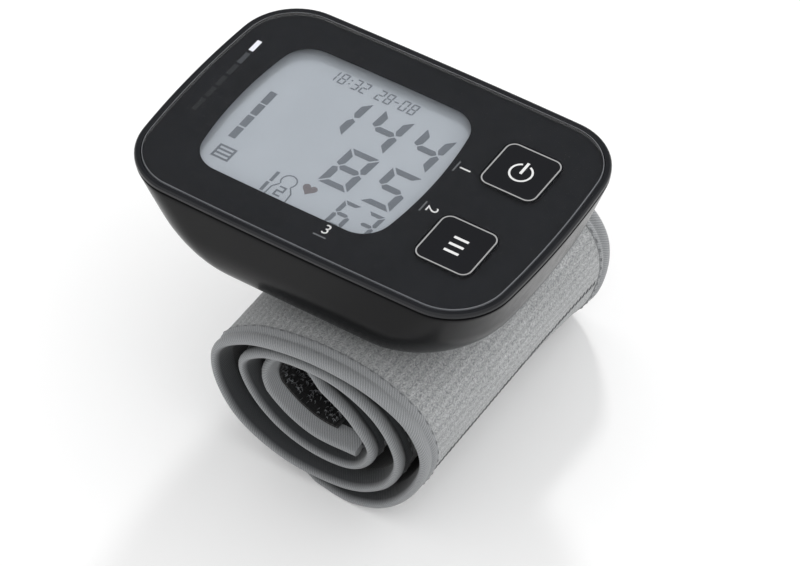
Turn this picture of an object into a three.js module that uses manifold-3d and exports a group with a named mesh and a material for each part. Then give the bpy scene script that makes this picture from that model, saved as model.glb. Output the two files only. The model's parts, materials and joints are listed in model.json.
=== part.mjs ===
// Wrist blood pressure monitor standing on its rolled cuff. Millimetres, +Z up.
// The origin is on the floor under the middle of the front lens. X runs along the long side of
// the case towards the keys, and Y runs across it to the back, along the axis of the roll.
import * as THREE from 'three';
import { mergeVertices } from 'three/addons/utils/BufferGeometryUtils.js';
import Module from 'manifold-3d';

const wasm = await Module();
wasm.setup();

// Running and seating clearances
const seatGap = 0.3;
const thinGap = 0.1;
const cutOverrun = 1;

// Front lens: acrylic, with a thin lip on a smaller step. Its length and width follow from what
// lies in the case, further down.
const lensLongSideRadius = 1800;
const lensShortSideRadius = 193;
const lensCornerRadius = 11.7;
const lensThickness = 0.8;
const lensLipThickness = 0.4;
const lensStep = 1.8;
const lensClearance = 0.2;

// Printed film behind the lens, and the display window in it, which runs from a margin at the
// left end to a gap beside the keys
const filmThickness = 0.2;
const windowKeyGap = 6.05;
const windowHalfWidth = 19.6;
const windowLongSideRadius = 1150;
const windowShortSideRadius = 86;
const windowCornerRadius = 6.5;
const windowEndMargin = 10.3;

// Keys and their tact switches
const keyHalfLength = 6.6;
const keyHalfWidth = 6.5;
const keyCornerRadius = 2.6;
const keyClearance = 0.2;
const keyDrop = 0.05;
const keyFlange = 0.6;
const keyFlangeThickness = 0.8;
const keyStemRadius = 2.2;
const keyStemLength = 1.2;
const keyEndMargin = 14.85;
const keySpacing = 23.2;
const keyTravel = 0.4;
const switchHalfSize = 3;
const switchHeight = 1.3;
const plungerRadius = 1.5;
const plungerLength = 1.3;

// Top cover: rim round the lens, ledge under it, and a skirt inside the lower case
const rimBorder = 1.5;
const rimDrop = 0.1;
const rimHeight = 1;
const rimRound = 0.45;
const coverFloor = 1;
const skirtInset = 2.4;
const skirtWall = 1.1;
const skirtDepth = 3.2;
const hookLength = 8;
const hookDepth = 1.6;
const hookReach = 0.5;
const hookEndMargin = 22;
const lugRadius = 1.6;
const lugEndMargin = 5.4;
const lugSideMargin = 10.4;
const screwBossRadius = 1.5;

// Lower case: a tapered bowl
const caseDepth = 20.6;
const caseWall = 1.8;
const caseFloor = 1.6;
const partingGap = 0.35;
const endTaper = 5.9;
const sideTaper = 2.2;
const bottomLongSideRadius = 150;
const bottomShortSideRadius = 110;
const bottomCornerRadius = 13;
const bottomRound = 3;

// Display module
const displayMargin = 1.9;
const displayCorner = 0.8;
const displayGlass = 1.8;
const displayClearance = 0.2;
const displayFrameWall = 1.1;
const displayFrameLedge = 1.6;
const zebraWidth = 1.8;
const zebraEndGap = 3.4;

// Circuit board and what it carries
const boardThickness = 1;
const boardInset = 4.5;
const boardDepth = 5.6;
const chipSize = 10;
const chipHeight = 1.4;
const chipMargin = 1;
const sensorSize = 7;
const sensorHeight = 2;
const sensorPortRadius = 1;
const sensorPortLength = 1.4;
const buzzerRadius = 4.5;
const buzzerHeight = 4;
const buzzerEndMargin = 22;
const buzzerMargin = 1.5;
const boardScrewHeadRadius = 1.6;
const boardScrewHeadHeight = 0.8;
const boardScrewShankRadius = 0.7;
const boardScrewShankLength = 3.2;

// Level indicator: a light guide behind the film over a bar of lamps
const guideEndMargin = 4.8;
const guideLugGap = 0.5;
const guideLength = 24;
const guideWidth = 1.6;
const lampCount = 6;
const lampPitch = 3.75;
const lampRadius = 0.7;
const lampHeight = 0.6;
const lampBarHeight = 0.7;

// Case screws and their posts
const postRadius = 2.4;
const postEndMargin = 12.5;
const postSideMargin = 7.4;
const screwHeadRadius = 1.6;
const screwHeadHeight = 1.2;
const screwShankRadius = 0.8;
const screwSink = 4;

// Two AAA cells in their bay
const cellRadius = 5.25;
const cellLength = 44.5;
const cellNubRadius = 1.9;
const cellNubLength = 1;
const cellSplit = 0.4;
const bayWall = 1;
const contactThickness = 0.3;
const contactMargin = 2;
const springLength = 2.2;
const springRadius = 2.6;
const springWireRadius = 0.25;
const springTurns = 3;

// Battery cover in the left end of the lower case
const doorHalfWidth = 13.6;
const doorTop = 7.4;
const doorBottom = 2.2;
const doorTongueLength = 7;
const doorTongueThickness = 1;
const doorRidgeDepth = 0.5;
const doorRidgeWidth = 0.8;
const doorRidges = 4;
const doorRidgePitch = 1.9;

// Pump: motor, crank and diaphragm head on one axis along Y
const motorRadius = 5;
const motorLength = 15;
const motorFlat = 4.3;
const motorBackMargin = 1.14;
const cradleWidth = 1.4;
const cradleInset = 2;
const cradleHalfLength = 4.4;
const shaftRadius = 0.75;
const shaftLength = 9;
const shaftReach = 5.6;
const crankRadius = 2.8;
const crankThickness = 2.4;
const crankOffset = 0.7;
const pumpHeadLength = 12;
const pumpHeadHalfWidth = 5.2;
const pumpHeadWall = 0.9;
const pumpCavityDepth = 5;
const nozzleRadius = 1.1;
const nozzleLength = 2;

// Air tee, nipple, hose and exhaust valve
const teeRadius = 1.7;
const teeBore = 0.6;
const hoseRadius = 1.6;
const hoseBore = 0.7;
const nippleRadius = 1.3;
const nippleBore = 0.5;
const nippleClearance = 0.7;
const valveRadius = 3.6;
const valveHeight = 9;
const valveGap = 3;
const valvePlungerRadius = 1.2;
const valvePlungerLength = 4;
const valvePlungerReach = 1;
const valveTravel = 0.6;
const pumpEndSlack = 2.1;
const pumpSideSlack = 6.56;

// Cuff: a strap rolled up on itself, and the bracket that holds it to the case
const strapThickness = 2.6;
const strapHalfBreadth = 34.8;
const clothThickness = 0.8;
const bladderThickness = 0.4;
const bindingWidth = 3.6;
const endBindingLength = 3;
const hookPatchThickness = 0.9;
const hookPatchMargin = 3;
const rollHalfWidth = 25;
const rollHalfHeight = 18.5;
const rollEndMargin = 34;
const rollFloorCut = 0.5;
const bracketCrest = 1;
const bracketReach = 16;
const bracketMargin = 7.2;
const bracketHalfWidth = 18.5;
const pegRadius = 1.4;
const pegInset = 3;

// Middle line of the strap from the tail end under the roll, anticlockwise in the front view, to
// its inner end: places as shares of the roll's half width and half height about its centre.
const rollLineShares = [
  [-0.38, -0.99], [-0.08, -1], [0.24, -1], [0.58, -0.82], [0.86, -0.37], [1, 0.22], [0.88, 0.64],
  [0.56, 0.9], [0.16, 0.99], [-0.24, 0.95], [-0.64, 0.78], [-0.92, 0.45], [-0.94, 0.03],
  [-0.76, -0.46], [-0.4, -0.76], [0, -0.83], [0.36, -0.74], [0.64, -0.43], [0.74, 0], [0.58, 0.46],
  [0.24, 0.74], [-0.14, 0.77], [-0.5, 0.64], [-0.7, 0.37], [-0.62, -0.03], [-0.36, -0.39],
  [0, -0.54], [0.32, -0.46], [0.46, -0.15], [0.3, 0.19], [0.02, 0.44], [-0.22, 0.57],
  [-0.44, 0.48], [-0.52, 0.26], [-0.31, -0.04], [-0.04, -0.21], [0.32, -0.18],
];
const bladderSpanShares = [0.12, 0.5];
const curlPlateSpanShares = [0.53, 0.86];
const hookPatchSpanShares = [0.885, 0.985];
const stationShare = 0.2;
const taperShares = [0, 0.5];
const roundSteps = 4;

// Facet counts
const cornerSteps = 6;
const sideSteps = 4;
const roundSides = 20;
const smallSides = 12;
const wireSides = 5;
const wireSteps = 8;
const strapStepsPerPoint = 3;
const bindingRoundSteps = 4;
const gapSamples = 600;
const gapSkipShare = 0.08;

const fullTurn = Math.PI * 2;
const quarterTurn = Math.PI / 2;
const strapSteps = strapStepsPerPoint * (rollLineShares.length - 1);

// Lengths of the two trains that fill the case: cells and pump along X, pump parts along Y
const bayLength = contactThickness * 2 + thinGap * 3 + cellLength + springLength + seatGap;
const pumpLength = bayWall + seatGap * 2 + motorRadius + teeRadius + valveGap + valveRadius * 2;
const insideLength = seatGap + bayLength + pumpLength + pumpEndSlack;
const pumpWidth = motorLength + shaftReach + seatGap + pumpHeadLength + nozzleLength;
const insideWidth = motorBackMargin + pumpWidth + seatGap + teeRadius + valveRadius + pumpSideSlack;
const footInset = caseWall + bottomRound - caseFloor;
const bottomHalfLength = insideLength / 2 + footInset;
const bottomHalfWidth = insideWidth / 2 + footInset;
const lensHalfLength = bottomHalfLength + endTaper - rimBorder;
const lensHalfWidth = bottomHalfWidth + sideTaper - rimBorder;

// Places along and across the case that follow from its length and width
const rightOfWindow = keyEndMargin + keyHalfLength + windowKeyGap;
const windowHalfLength = lensHalfLength - (windowEndMargin + rightOfWindow) / 2;
const windowOffset = windowEndMargin + windowHalfLength - lensHalfLength;
const keyX = lensHalfLength - keyEndMargin;
const hookX = hookEndMargin - lensHalfLength;
const guideX = guideEndMargin - lensHalfLength;
const lugX = lugEndMargin - lensHalfLength;
const lugY = lensHalfWidth - lugSideMargin;
const guideCentreY = lugY - lugRadius - guideLugGap - guideLength / 2;
const postX = lensHalfLength - postEndMargin;
const postHalfSpacing = lensHalfWidth - postSideMargin;
const rollCentreX = lensHalfLength - rollEndMargin;
const motorFront = motorBackMargin + motorLength - insideWidth / 2;

const finishes = {
  glossBlack: { color: 0x17181a, roughness: 0.08, metalness: 0 },
  clear: { color: 0x3a3d40, roughness: 0.05, metalness: 0, transparent: true, opacity: 0.35 },
  printBlack: { color: 0x232527, roughness: 0.5, metalness: 0 },
  satinBlack: { color: 0x1c1d1e, roughness: 0.38, metalness: 0 },
  display: { color: 0xa9b0b8, roughness: 0.3, metalness: 0 },
  whitePlastic: { color: 0xd9d8d2, roughness: 0.55, metalness: 0 },
  greyPlastic: { color: 0x6f7275, roughness: 0.55, metalness: 0 },
  rubber: { color: 0x2b2c2d, roughness: 0.8, metalness: 0 },
  silicone: { color: 0xc9cdd0, roughness: 0.6, metalness: 0 },
  board: { color: 0x1f5a37, roughness: 0.45, metalness: 0 },
  chip: { color: 0x1a1a1b, roughness: 0.5, metalness: 0 },
  steel: { color: 0xb9bcc0, roughness: 0.3, metalness: 1 },
  cell: { color: 0x35383c, roughness: 0.35, metalness: 0.4 },
  felt: { color: 0x9c9ea0, roughness: 0.95, metalness: 0 },
  lining: { color: 0x3a3b3d, roughness: 0.95, metalness: 0 },
  binding: { color: 0x86888a, roughness: 0.9, metalness: 0 },
  hook: { color: 0x161617, roughness: 0.85, metalness: 0 },
};

// Points of a closed outline with four sides that bulge as wide arcs and four round corners.
function bulgedOutline(halfLength, halfWidth, longRadius, shortRadius, cornerRadius, centreX = 0) {
  const longY = halfWidth - longRadius;
  const shortX = halfLength - shortRadius;
  const spread = Math.hypot(shortX, longY);
  const longReach = longRadius - cornerRadius;
  const shortReach = shortRadius - cornerRadius;
  // The corner's centre is where circles of these reaches about (0, longY) and (shortX, 0) meet.
  const along = (longReach ** 2 - shortReach ** 2 + spread ** 2) / (2 * spread);
  const aside = Math.sqrt(longReach ** 2 - along ** 2);
  const cornerX = (shortX / spread) * along - (longY / spread) * aside;
  const cornerY = longY - (longY / spread) * along - (shortX / spread) * aside;
  const startAngle = Math.atan2(cornerY, cornerX - shortX);
  const endAngle = Math.atan2(cornerY - longY, cornerX);
  const quarter = [];
  for (let step = 0; step < sideSteps; step += 1) {
    const angle = (startAngle * step) / sideSteps;
    quarter.push([shortX + shortRadius * Math.cos(angle), shortRadius * Math.sin(angle)]);
  }
  for (let step = 0; step < cornerSteps; step += 1) {
    const angle = startAngle + ((endAngle - startAngle) * step) / cornerSteps;
    quarter.push([
      cornerX + cornerRadius * Math.cos(angle),
      cornerY + cornerRadius * Math.sin(angle),
    ]);
  }
  for (let step = 0; step <= sideSteps; step += 1) {
    const angle = endAngle + ((quarterTurn - endAngle) * step) / sideSteps;
    quarter.push([longRadius * Math.cos(angle), longY + longRadius * Math.sin(angle)]);
  }
  const firstHalf = [...quarter];
  quarter.slice(1, -1).reverse().forEach(([x, y]) => firstHalf.push([-x, y]));
  firstHalf.push([-quarter[0][0], quarter[0][1]]);
  const outline = [...firstHalf];
  firstHalf.slice(1, -1).reverse().forEach(([x, y]) => outline.push([x, -y]));
  return outline.map(([x, y]) => new THREE.Vector2(x + centreX, y));
}

// Points of a rectangle with round corners.
function roundedBox(halfX, halfY, radius, centreX = 0, centreY = 0) {
  const points = [];
  const signs = [[1, 1], [-1, 1], [-1, -1], [1, -1]];
  signs.forEach(([signX, signY], corner) => {
    for (let step = 0; step <= cornerSteps; step += 1) {
      const angle = quarterTurn * (corner + step / cornerSteps);
      points.push(new THREE.Vector2(
        centreX + signX * (halfX - radius) + radius * Math.cos(angle),
        centreY + signY * (halfY - radius) + radius * Math.sin(angle),
      ));
    }
  });
  return points;
}

// Turns a closed geometry into a solid that can be cut and joined.
function toSolid(geometry) {
  const bare = geometry.index ? geometry.toNonIndexed() : geometry.clone();
  bare.deleteAttribute('normal');
  bare.deleteAttribute('uv');
  const merged = mergeVertices(bare);
  return new wasm.Manifold(new wasm.Mesh({
    numProp: 3,
    vertProperties: new Float32Array(merged.attributes.position.array),
    triVerts: new Uint32Array(merged.index.array),
  }));
}

// A flat outline raised from one height to another.
function slab(points, bottomZ, topZ) {
  const shape = new THREE.Shape(points);
  const geometry = new THREE.ExtrudeGeometry(shape, { depth: topZ - bottomZ, bevelEnabled: false });
  geometry.translate(0, 0, bottomZ);
  return toSolid(geometry);
}

// A solid through rings of equal point counts, each with its own height.
function loft(rings) {
  const count = rings[0].points.length;
  const positions = [];
  rings.forEach((ring) => ring.points.forEach((point) => positions.push(point.x, point.y, ring.z)));
  const faces = [];
  for (let level = 0; level < rings.length - 1; level += 1) {
    for (let side = 0; side < count; side += 1) {
      const next = (side + 1) % count;
      const low = level * count;
      const high = low + count;
      faces.push(low + side, low + next, high + next, low + side, high + next, high + side);
    }
  }
  const cap = THREE.ShapeUtils.triangulateShape(rings[0].points, []);
  const lastRing = (rings.length - 1) * count;
  cap.forEach(([a, b, c]) => {
    faces.push(c, b, a, lastRing + a, lastRing + b, lastRing + c);
  });
  return closedSolid(positions, faces);
}

// A solid from vertex positions and faces, turned outside out if it was made inside out.
function closedSolid(positions, faces) {
  const geometry = new THREE.BufferGeometry();
  geometry.setAttribute('position', new THREE.Float32BufferAttribute(positions, 3));
  const corners = positions.length / 3;
  let volume = 0;
  const a = new THREE.Vector3();
  const b = new THREE.Vector3();
  const c = new THREE.Vector3();
  const centre = new THREE.Vector3();
  for (let corner = 0; corner < corners; corner += 1) {
    centre.add(a.fromBufferAttribute(geometry.attributes.position, corner));
  }
  centre.divideScalar(corners);
  for (let face = 0; face < faces.length; face += 3) {
    a.fromBufferAttribute(geometry.attributes.position, faces[face]).sub(centre);
    b.fromBufferAttribute(geometry.attributes.position, faces[face + 1]).sub(centre);
    c.fromBufferAttribute(geometry.attributes.position, faces[face + 2]).sub(centre);
    volume += a.dot(b.cross(c));
  }
  geometry.setIndex(volume < 0 ? [...faces].reverse() : faces);
  return toSolid(geometry);
}

// A box from its lowest to its highest corner.
function block(lowX, lowY, lowZ, highX, highY, highZ) {
  const geometry = new THREE.BoxGeometry(highX - lowX, highY - lowY, highZ - lowZ);
  geometry.translate((lowX + highX) / 2, (lowY + highY) / 2, (lowZ + highZ) / 2);
  return toSolid(geometry);
}

// An upright cylinder.
function post(x, y, bottomZ, topZ, radius, sides = roundSides) {
  const geometry = new THREE.CylinderGeometry(radius, radius, topZ - bottomZ, sides);
  geometry.rotateX(quarterTurn);
  geometry.translate(x, y, (bottomZ + topZ) / 2);
  return toSolid(geometry);
}

// A cylinder along Y.
function barrel(x, z, lowY, highY, radius, sides = roundSides) {
  const geometry = new THREE.CylinderGeometry(radius, radius, highY - lowY, sides);
  geometry.translate(x, (lowY + highY) / 2, z);
  return toSolid(geometry);
}

// A cylinder along X.
function rod(y, z, lowX, highX, radius, sides = roundSides) {
  const geometry = new THREE.CylinderGeometry(radius, radius, highX - lowX, sides);
  geometry.rotateZ(quarterTurn);
  geometry.translate((lowX + highX) / 2, y, z);
  return toSolid(geometry);
}

const monitor = new THREE.Group();

// Adds one finished solid to the assembly as a named mesh.
function place(name, solid, finish) {
  const raw = solid.getMesh();
  const geometry = new THREE.BufferGeometry();
  const stride = raw.numProp;
  const positions = [];
  for (let vertex = 0; vertex < raw.vertProperties.length; vertex += stride) {
    positions.push(...raw.vertProperties.slice(vertex, vertex + 3));
  }
  geometry.setAttribute('position', new THREE.Float32BufferAttribute(positions, 3));
  geometry.setIndex([...raw.triVerts]);
  geometry.computeVertexNormals();
  const mesh = new THREE.Mesh(geometry, new THREE.MeshStandardMaterial(finishes[finish]));
  mesh.name = name;
  monitor.add(mesh);
}

// The roll's middle line about its own centre, before it is set on the floor.
const rollLine = new THREE.CatmullRomCurve3(
  rollLineShares.map(([shareX, shareZ]) => new THREE.Vector3(
    rollCentreX + shareX * rollHalfWidth,
    0,
    shareZ * rollHalfHeight,
  )),
);
rollLine.arcLengthDivisions = gapSamples;

// A point beside the middle line: offsets to the outside of the roll are positive. Shares count
// the line's own points, which lie closer together where it bends more.
function besideLine(share, offset) {
  const point = rollLine.getPoint(share);
  const tangent = rollLine.getTangent(share);
  return new THREE.Vector2(point.x + tangent.z * offset, point.z - tangent.x * offset);
}

// The roll's length, lowest and highest outer points, and its least gap between turns.
const rollLength = rollLine.getLength();
const outerFace = [];
for (let step = 0; step <= gapSamples; step += 1) {
  outerFace.push(besideLine(step / gapSamples, strapThickness / 2));
}
const rollLowest = Math.min(...outerFace.map((point) => point.y));
const rollHighest = Math.max(...outerFace.map((point) => point.y));
const rollCentreZ = -rollLowest - rollFloorCut;
const rollTopZ = rollCentreZ + rollHighest;
const middlePoints = rollLine.getSpacedPoints(gapSamples);
let leastPitch = rollLength;
middlePoints.forEach((from, start) => {
  middlePoints.slice(start + Math.round(gapSamples * gapSkipShare)).forEach((to) => {
    leastPitch = Math.min(leastPitch, from.distanceTo(to));
  });
});
console.log(`strap ${rollLength.toFixed(1)} mm long, least gap between its turns `
  + `${(leastPitch - strapThickness).toFixed(2)} mm`);

// Heights that follow from the stack: roll, bracket, case, lens
const bracketBottomZ = rollTopZ + seatGap;
const caseBottomZ = bracketBottomZ + bracketCrest + seatGap;
const caseFloorZ = caseBottomZ + caseFloor;
const lensTopZ = caseBottomZ + caseDepth;
const lensBottomZ = lensTopZ - lensThickness;
const filmTopZ = lensBottomZ - thinGap;
const filmBottomZ = filmTopZ - filmThickness;
const coverFloorTopZ = filmBottomZ - thinGap;
const coverFloorBottomZ = coverFloorTopZ - coverFloor;
const rimTopZ = lensTopZ - rimDrop;
const rimBottomZ = rimTopZ - rimHeight;
const skirtBottomZ = rimBottomZ - skirtDepth;
const caseTopZ = rimBottomZ - partingGap;
const boardTopZ = lensTopZ - boardDepth;
const boardBottomZ = boardTopZ - boardThickness;
const displayTopZ = filmBottomZ - seatGap;
const displayBottomZ = displayTopZ - displayGlass;

// The lens outline moved outwards by a border
function lensOutline(border) {
  return bulgedOutline(
    lensHalfLength + border,
    lensHalfWidth + border,
    lensLongSideRadius + border,
    lensShortSideRadius + border,
    lensCornerRadius + border,
  );
}

// The case outline at a share of the way from its parting line to its underside, moved inwards.
function caseOutline(depthShare, inset) {
  const top = {
    length: lensHalfLength + rimBorder,
    width: lensHalfWidth + rimBorder,
    long: 1 / (lensLongSideRadius + rimBorder),
    short: 1 / (lensShortSideRadius + rimBorder),
    corner: lensCornerRadius + rimBorder,
  };
  const mix = (from, to) => from + (to - from) * depthShare;
  return bulgedOutline(
    mix(top.length, bottomHalfLength) - inset,
    mix(top.width, bottomHalfWidth) - inset,
    1 / mix(top.long, 1 / bottomLongSideRadius) - inset,
    1 / mix(top.short, 1 / bottomShortSideRadius) - inset,
    mix(top.corner, bottomCornerRadius) - inset,
  );
}

// A tapered bowl with a rounded bottom edge, from the parting line down to a floor height.
function bowl(inset, floorZ, topZ, roundRadius) {
  const fullHeight = caseTopZ - caseBottomZ;
  const shareAt = (z) => (caseTopZ - z) / fullHeight;
  const rings = [];
  for (let step = 0; step <= roundSteps; step += 1) {
    const angle = (quarterTurn * step) / roundSteps;
    const z = floorZ + roundRadius * (1 - Math.cos(angle));
    rings.push({ z, points: caseOutline(shareAt(z), inset + roundRadius * (1 - Math.sin(angle))) });
  }
  [...taperShares].reverse().forEach((share) => {
    const z = topZ + (floorZ + roundRadius - topZ) * share;
    rings.push({ z, points: caseOutline(shareAt(z), inset) });
  });
  return loft(rings);
}

// Places that the inside layout follows
const cellAxisZ = caseFloorZ + seatGap + cellRadius;
const cellY = cellRadius + cellSplit / 2;
const endWallX = insideLength / 2;
const linkPlateX = -endWallX + seatGap;
const frontCellStartX = linkPlateX + contactThickness + thinGap;
const rearCellStartX = linkPlateX + contactThickness + springLength + thinGap * 2;
const bayEndX = bayLength + seatGap - endWallX;
const contactX = bayEndX - seatGap - contactThickness;
const bayHalfWidth = cellY + cellRadius + seatGap;
const bayTopZ = cellAxisZ + cellRadius / 2;
const tongueY = bayHalfWidth + bayWall + seatGap;
const pumpX = bayEndX + bayWall + seatGap * 2 + motorRadius;
const pumpAxisZ = caseFloorZ + seatGap + pumpHeadHalfWidth;
const pumpHeadY = motorFront + shaftReach + seatGap;
const nozzleEndY = pumpHeadY + pumpHeadLength + nozzleLength;
const teeY = nozzleEndY + seatGap + teeRadius;
const valveX = pumpX + teeRadius + valveGap + valveRadius;
const postYs = [-postHalfSpacing, postHalfSpacing];
const keyYs = [keySpacing / 2, -keySpacing / 2];
const lugs = [[keyX + keyHalfLength, 0], [lugX, lugY], [lugX, -lugY]];
const bracketLowX = rollCentreX - bracketReach;
const bracketHighX = pumpX + bracketMargin;
const contactHalf = cellRadius - contactMargin;
const displayHalfLength = windowHalfLength + displayMargin;
const displayHalfWidth = windowHalfWidth + displayMargin;
const screwTopZ = coverFloorBottomZ - thinGap;

// The window and key openings that lens, film and cover share
function keyOutline(border, keyY) {
  return roundedBox(
    keyHalfLength + border,
    keyHalfWidth + border,
    keyCornerRadius + border,
    keyX,
    keyY,
  );
}

function cutKeys(solid, border, bottomZ, topZ) {
  return keyYs.reduce(
    (rest, keyY) => rest.subtract(slab(keyOutline(border, keyY), bottomZ, topZ)),
    solid,
  );
}

function makeLens() {
  const lip = slab(lensOutline(0), lensTopZ - lensLipThickness, lensTopZ);
  const step = slab(lensOutline(-lensStep), lensBottomZ, lensTopZ - lensLipThickness);
  const whole = lip.add(step);
  const lens = cutKeys(whole, keyClearance, lensBottomZ - cutOverrun, lensTopZ + cutOverrun);
  place('front_lens', lens, 'clear');
}

function makeFilm() {
  const window = bulgedOutline(
    windowHalfLength,
    windowHalfWidth,
    windowLongSideRadius,
    windowShortSideRadius,
    windowCornerRadius,
    windowOffset,
  );
  const sheet = slab(lensOutline(-lensStep), filmBottomZ, filmTopZ)
    .subtract(slab(window, filmBottomZ - cutOverrun, filmTopZ + cutOverrun));
  const film = cutKeys(sheet, keyClearance, filmBottomZ - cutOverrun, filmTopZ + cutOverrun);
  place('window_film', film, 'printBlack');
}

function makeTopCover() {
  const skirtBorder = rimBorder - skirtInset;
  const rings = [{ z: rimBottomZ, points: lensOutline(rimBorder) }];
  for (let step = 0; step <= roundSteps; step += 1) {
    const angle = (quarterTurn * step) / roundSteps;
    rings.push({
      z: rimTopZ - rimRound * (1 - Math.sin(angle)),
      points: lensOutline(rimBorder - rimRound * (1 - Math.cos(angle))),
    });
  }
  let cover = loft(rings).add(slab(lensOutline(skirtBorder), skirtBottomZ, rimBottomZ));
  // Hooks on the skirt's long sides
  [-1, 1].forEach((side) => {
    const outerY = side * (lensHalfWidth + skirtBorder);
    const lowY = Math.min(outerY - side * skirtWall, outerY + side * hookReach);
    const highY = Math.max(outerY - side * skirtWall, outerY + side * hookReach);
    const hook = block(
      hookX - hookLength / 2,
      lowY,
      skirtBottomZ,
      hookX + hookLength / 2,
      highY,
      skirtBottomZ + hookDepth,
    );
    cover = cover.add(hook);
  });
  cover = cover
    .subtract(slab(lensOutline(lensClearance), lensTopZ - lensLipThickness - thinGap, lensTopZ + cutOverrun))
    .subtract(slab(lensOutline(lensClearance - lensStep), coverFloorTopZ, lensTopZ))
    .subtract(slab(lensOutline(skirtBorder - skirtWall), skirtBottomZ - cutOverrun, coverFloorBottomZ));
  const frameBorder = displayFrameWall + seatGap;
  const opening = roundedBox(
    displayHalfLength + frameBorder,
    displayHalfWidth + frameBorder,
    displayCorner + frameBorder,
    windowOffset,
  );
  cover = cover.subtract(slab(opening, coverFloorBottomZ - cutOverrun, coverFloorTopZ + cutOverrun));
  cover = cutKeys(
    cover,
    keyFlange + keyClearance + seatGap,
    coverFloorBottomZ - cutOverrun,
    coverFloorTopZ + cutOverrun,
  );
  // Slot for the light guide
  cover = cover.subtract(block(
    guideX - guideWidth / 2 - seatGap,
    guideCentreY - guideLength / 2 - seatGap,
    coverFloorBottomZ - cutOverrun,
    guideX + guideWidth / 2 + seatGap,
    guideCentreY + guideLength / 2 + seatGap,
    coverFloorTopZ + cutOverrun,
  ));
  // Lugs that the board is screwed to, and bosses that the case screws enter
  lugs.forEach(([x, y]) => {
    const boreRadius = boardScrewShankRadius + seatGap;
    cover = cover
      .add(post(x, y, boardTopZ + thinGap, coverFloorTopZ, lugRadius, smallSides))
      .subtract(post(x, y, boardTopZ - cutOverrun, coverFloorBottomZ, boreRadius, smallSides));
  });
  postYs.forEach((y) => {
    const boreRadius = screwShankRadius + thinGap;
    cover = cover
      .add(post(postX, y, boardTopZ + thinGap, coverFloorTopZ, screwBossRadius, smallSides))
      .subtract(post(postX, y, boardTopZ - cutOverrun, screwTopZ, boreRadius, smallSides));
  });
  place('top_cover', cover, 'glossBlack');
}

// The battery door's outline in the end wall, as a block that cuts through the wall
function doorBlock(grow) {
  return block(
    -lensHalfLength - rimBorder - cutOverrun,
    -doorHalfWidth - grow,
    caseFloorZ + doorBottom - grow,
    -endWallX,
    doorHalfWidth + grow,
    lensTopZ - doorTop + grow,
  );
}

function caseShell() {
  return bowl(0, caseBottomZ, caseTopZ, bottomRound)
    .subtract(bowl(caseWall, caseFloorZ, caseTopZ + cutOverrun, bottomRound - caseFloor));
}

function bracketPegPlaces() {
  const reachY = bracketHalfWidth - pegInset;
  return [bracketLowX + pegInset, bracketHighX - pegInset].flatMap((x) => [[x, -reachY], [x, reachY]]);
}

function makeLowerCase() {
  let shell = caseShell();
  shell = shell.subtract(slab(
    lensOutline(rimBorder - skirtInset + seatGap),
    skirtBottomZ - seatGap,
    caseTopZ + cutOverrun,
  ));
  // Pockets for the cover's hooks
  [-1, 1].forEach((side) => {
    const innerY = side * (lensHalfWidth + rimBorder - skirtInset);
    const outerY = innerY + side * (hookReach + seatGap);
    shell = shell.subtract(block(
      hookX - hookLength / 2 - seatGap,
      Math.min(innerY, outerY),
      skirtBottomZ - seatGap,
      hookX + hookLength / 2 + seatGap,
      Math.max(innerY, outerY),
      skirtBottomZ + hookDepth + seatGap,
    ));
  });
  // Battery bay: two side walls, an end wall and a ridge between the cells
  const bayStartX = linkPlateX + contactThickness + seatGap;
  const bayFloorZ = caseFloorZ - caseFloor / 2;
  [-1, 1].forEach((side) => {
    const nearY = side * bayHalfWidth;
    const farY = side * (bayHalfWidth + bayWall);
    shell = shell.add(block(
      bayStartX,
      Math.min(nearY, farY),
      bayFloorZ,
      bayEndX + bayWall,
      Math.max(nearY, farY),
      bayTopZ,
    ));
  });
  shell = shell.add(block(
    bayEndX,
    -bayHalfWidth - bayWall / 2,
    bayFloorZ,
    bayEndX + bayWall,
    bayHalfWidth + bayWall / 2,
    bayTopZ,
  ));
  // Two ribs that the motor lies in
  [motorFront - cradleInset, motorFront - motorLength + cradleInset + cradleWidth].forEach((highY) => {
    shell = shell.add(block(
      pumpX - cradleHalfLength,
      highY - cradleWidth,
      bayFloorZ,
      pumpX + cradleHalfLength,
      highY,
      pumpAxisZ - motorFlat - seatGap,
    ));
  });
  // Posts for the case screws, with a counterbore from below
  postYs.forEach((y) => {
    shell = shell
      .add(post(postX, y, bayFloorZ, boardBottomZ - thinGap, postRadius))
      .subtract(post(postX, y, caseBottomZ - cutOverrun, boardTopZ, screwShankRadius + seatGap, smallSides))
      .subtract(post(
        postX,
        y,
        caseBottomZ - cutOverrun,
        caseBottomZ + screwSink,
        screwHeadRadius + seatGap,
      ));
  });
  // Holes for the bracket's pegs and the air nipple
  bracketPegPlaces().forEach(([x, y]) => {
    shell = shell.subtract(post(
      x,
      y,
      caseBottomZ - cutOverrun,
      caseFloorZ + cutOverrun,
      pegRadius + seatGap,
      smallSides,
    ));
  });
  shell = shell.subtract(post(
    pumpX,
    teeY,
    caseBottomZ - cutOverrun,
    caseFloorZ + cutOverrun,
    nippleRadius + seatGap,
    smallSides,
  ));
  shell = shell.subtract(doorBlock(seatGap));
  place('lower_case', shell, 'satinBlack');
}

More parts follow.
